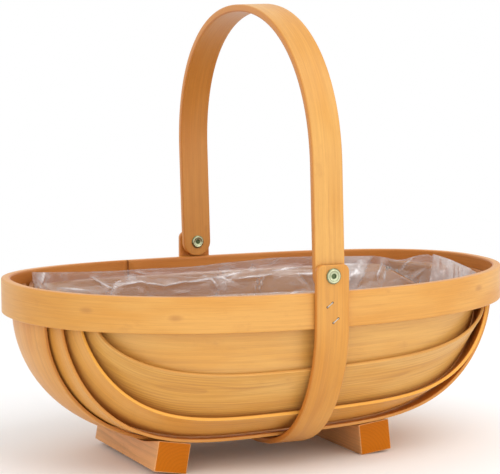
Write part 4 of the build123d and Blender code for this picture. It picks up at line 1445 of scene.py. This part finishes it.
        x, y, z = points[..., 0], points[..., 1], points[..., 2]
        high = numpy.clip((z - 128.0) / 26.0, 0, 1)
        flap = band(degrees, -70.0, 10.2, 1.0) * high
        panel = (y > 0) * band(x + 0.55 * (176.0 - z), 150.0, 194.0, 3.0) * 0.9 * high
        corner = (y > 0) * band(x, -226.0, -180.0, 14.0) * 0.55 * numpy.clip((z - 150) / 14, 0, 1)
        hem = (y > 0) * numpy.clip(1 - numpy.abs(z - points[0, :, 2] + 0.8) / 1.6, 0, 1) * 0.35
        return numpy.maximum.reduce([flap, panel, corner, hem])

    def mesh(self, points, flat, haze_and_glint, layers):
        rows, count = points.shape[:2]
        verts = points.reshape(-1, 3).tolist() + [[0.0, 0.0, float(points[-1, :, 2].mean())]]
        low, middle = (rows - 1) * count, rows * count
        faces = quads(rows, count) + [(low + i, low + (i + 1) % count, middle) for i in range(count)]
        mesh = new_mesh("liner_film", [[MM * c for c in v] for v in verts], faces)
        for name, values in (("crease", haze_and_glint), ("layers", layers)):
            mark(mesh, name, "POINT", values.ravel().tolist() + [0.0])
        mark(mesh, "film", "POINT", flat.ravel().tolist() + [0.0] * 3, vector=True)
        smooth(mesh)
        mesh.update()
        return new_object("liner_film", mesh)


class TRUG_OT_stage(bpy.types.Operator):
    """Floor, light and camera"""

    bl_idname = "trug.stage"
    bl_label = "Stage"

    def execute(self, context):
        stage = context.scene.trug_stage
        self.floor(stage)
        self.world(context, stage)
        self.lamp("key_light", (1.1, -2.4, 1.0), (1.5, 1.5), stage.key_power)
        self.lamp("low_light", (0.5, -2.2, 0.34), (2.6, 0.56), stage.low_power)
        self.lamp("fill_light", (-2.1, -1.7, 1.3), (1.6, 1.6), stage.fill_power)
        self.lamp("top_light", (0.4, -1.35, 2.3), (1.8, 1.8), stage.top_power)
        azimuth, elevation = stage.azimuth, stage.elevation
        back = Vector((math.sin(azimuth) * math.cos(elevation), -math.cos(azimuth) * math.cos(elevation),
                       math.sin(elevation)))
        right = Vector((math.cos(azimuth), math.sin(azimuth), 0))
        right = Matrix.Rotation(CAMERA_ROLL, 3, back) @ right
        up = back.cross(right)
        data = bpy.data.cameras.new("camera")
        data.lens, data.sensor_width, data.sensor_fit = stage.lens, 36.0, "HORIZONTAL"
        data.shift_x, data.shift_y = CAMERA_SHIFT
        data.clip_start, data.clip_end = 0.05, 50.0
        camera = bpy.data.objects.new("camera", data)
        camera.matrix_world = Matrix.Translation(CAMERA_TARGET + back * stage.distance) @ Matrix(
            (right, up, back)).transposed().to_4x4()
        context.scene.collection.objects.link(camera)
        context.scene.camera = camera
        context.scene.view_settings.view_transform = "Standard"
        return {"FINISHED"}

    def floor(self, stage):
        corners = [(x, y, -0.0003) for x, y in ((-8, -8), (8, -8), (8, 8), (-8, 8))]
        mesh = new_mesh("floor", corners, [(0, 1, 2, 3)])
        floor = new_object("floor", mesh)
        material, tree, shader = new_material("floor paper")
        place = add(tree, "ShaderNodeTexCoord").outputs["Object"]
        tint = mix_colour(tree, noise_at(tree, place, 3.0, 0.5, 3.0), tuple(stage.floor_tone),
                          shaded(stage.floor_tone, 0.985))
        feed(tree, shader, {"Base Color": tint, "Roughness": 0.95, "Specular IOR Level": 0.0})
        white = add(tree, "ShaderNodeEmission", {"Color": (1.0, 1.0, 1.0, 1.0), "Strength": 1.0})
        reach = add(tree, "ShaderNodeVectorMath", {0: place}, operation="LENGTH").outputs["Value"]
        far = ramp(tree, reach, 0.3, 1.0)
        path = tree.nodes.new("ShaderNodeLightPath")
        seen = times(tree, far, path.outputs["Is Camera Ray"])
        mixed = add(tree, "ShaderNodeMixShader", {0: seen, 1: shader.outputs[0], 2: white.outputs[0]})
        tree.links.new(mixed.outputs[0], tree.nodes["Material Output"].inputs["Surface"])
        mesh.materials.append(material)

    def world(self, context, stage):
        world = bpy.data.worlds.new("studio")
        world.use_nodes = True
        tree = world.node_tree
        tree.nodes.clear()
        path = tree.nodes.new("ShaderNodeLightPath").outputs
        seen = maths(tree, "MAXIMUM", path["Is Camera Ray"],
                     maths(tree, "MAXIMUM", path["Is Glossy Ray"], path["Is Transmission Ray"]))
        soft = add(tree, "ShaderNodeBackground", {"Color": (1.0, 1.0, 1.0, 1.0), "Strength": stage.ambient})
        white = add(tree, "ShaderNodeBackground", {"Color": (1.0, 1.0, 1.0, 1.0), "Strength": 1.0})
        mixed = add(tree, "ShaderNodeMixShader", {0: seen, 1: soft.outputs[0], 2: white.outputs[0]})
        output = tree.nodes.new("ShaderNodeOutputWorld")
        tree.links.new(mixed.outputs[0], output.inputs["Surface"])
        context.scene.world = world

    def lamp(self, name, place, size, power):
        data = bpy.data.lights.new(name, "AREA")
        data.shape, data.size, data.size_y, data.energy = "RECTANGLE", size[0], size[1], power
        lamp = bpy.data.objects.new(name, data)
        aim = LAMP_TARGET - Vector(place)
        lamp.matrix_world = Matrix.Translation(place) @ aim.to_track_quat("-Z", "Y").to_matrix().to_4x4()
        bpy.context.scene.collection.objects.link(lamp)


class TRUG_PT_panel(bpy.types.Panel):
    """Sizes, finish, light and the making of each piece"""

    bl_label = "Trug garden basket"
    bl_idname = "TRUG_PT_panel"
    bl_space_type = "VIEW_3D"
    bl_region_type = "UI"
    bl_category = "Trug"

    def draw(self, context):
        layout = self.layout
        for title, group in (("Sizes", context.scene.trug_sizes), ("Finish", context.scene.trug_finish),
                             ("Stage", context.scene.trug_stage)):
            box = layout.box()
            box.label(text=title)
            for field in group.bl_rna.properties:
                if field.identifier not in ("rna_type", "name"):
                    box.prop(group, field.identifier)
        for operator in OPERATORS:
            layout.operator(operator.bl_idname)


OPERATORS = (TRUG_OT_stage, TRUG_OT_rim, TRUG_OT_strap, TRUG_OT_handle, TRUG_OT_boards, TRUG_OT_feet,
             TRUG_OT_pivots, TRUG_OT_fastenings, TRUG_OT_liner)
GROUPS = (TrugSizes, TrugFinish, TrugStage)
CLASSES = GROUPS + OPERATORS + (TRUG_PT_panel,)


def register():
    for item in CLASSES:
        bpy.utils.register_class(item)
    bpy.types.Scene.trug_sizes = PointerProperty(type=TrugSizes)
    bpy.types.Scene.trug_finish = PointerProperty(type=TrugFinish)
    bpy.types.Scene.trug_stage = PointerProperty(type=TrugStage)


def unregister():
    del bpy.types.Scene.trug_sizes, bpy.types.Scene.trug_finish, bpy.types.Scene.trug_stage
    for item in reversed(CLASSES):
        bpy.utils.unregister_class(item)


def main():
    """Makes every piece and the stage."""
    register()
    bpy.ops.trug.stage()
    bpy.ops.trug.rim()
    bpy.ops.trug.strap()
    bpy.ops.trug.handle()
    bpy.ops.trug.boards()
    bpy.ops.trug.feet()
    bpy.ops.trug.pivots()
    bpy.ops.trug.fastenings()
    bpy.ops.trug.liner()


if __name__ == "__main__":
    main()
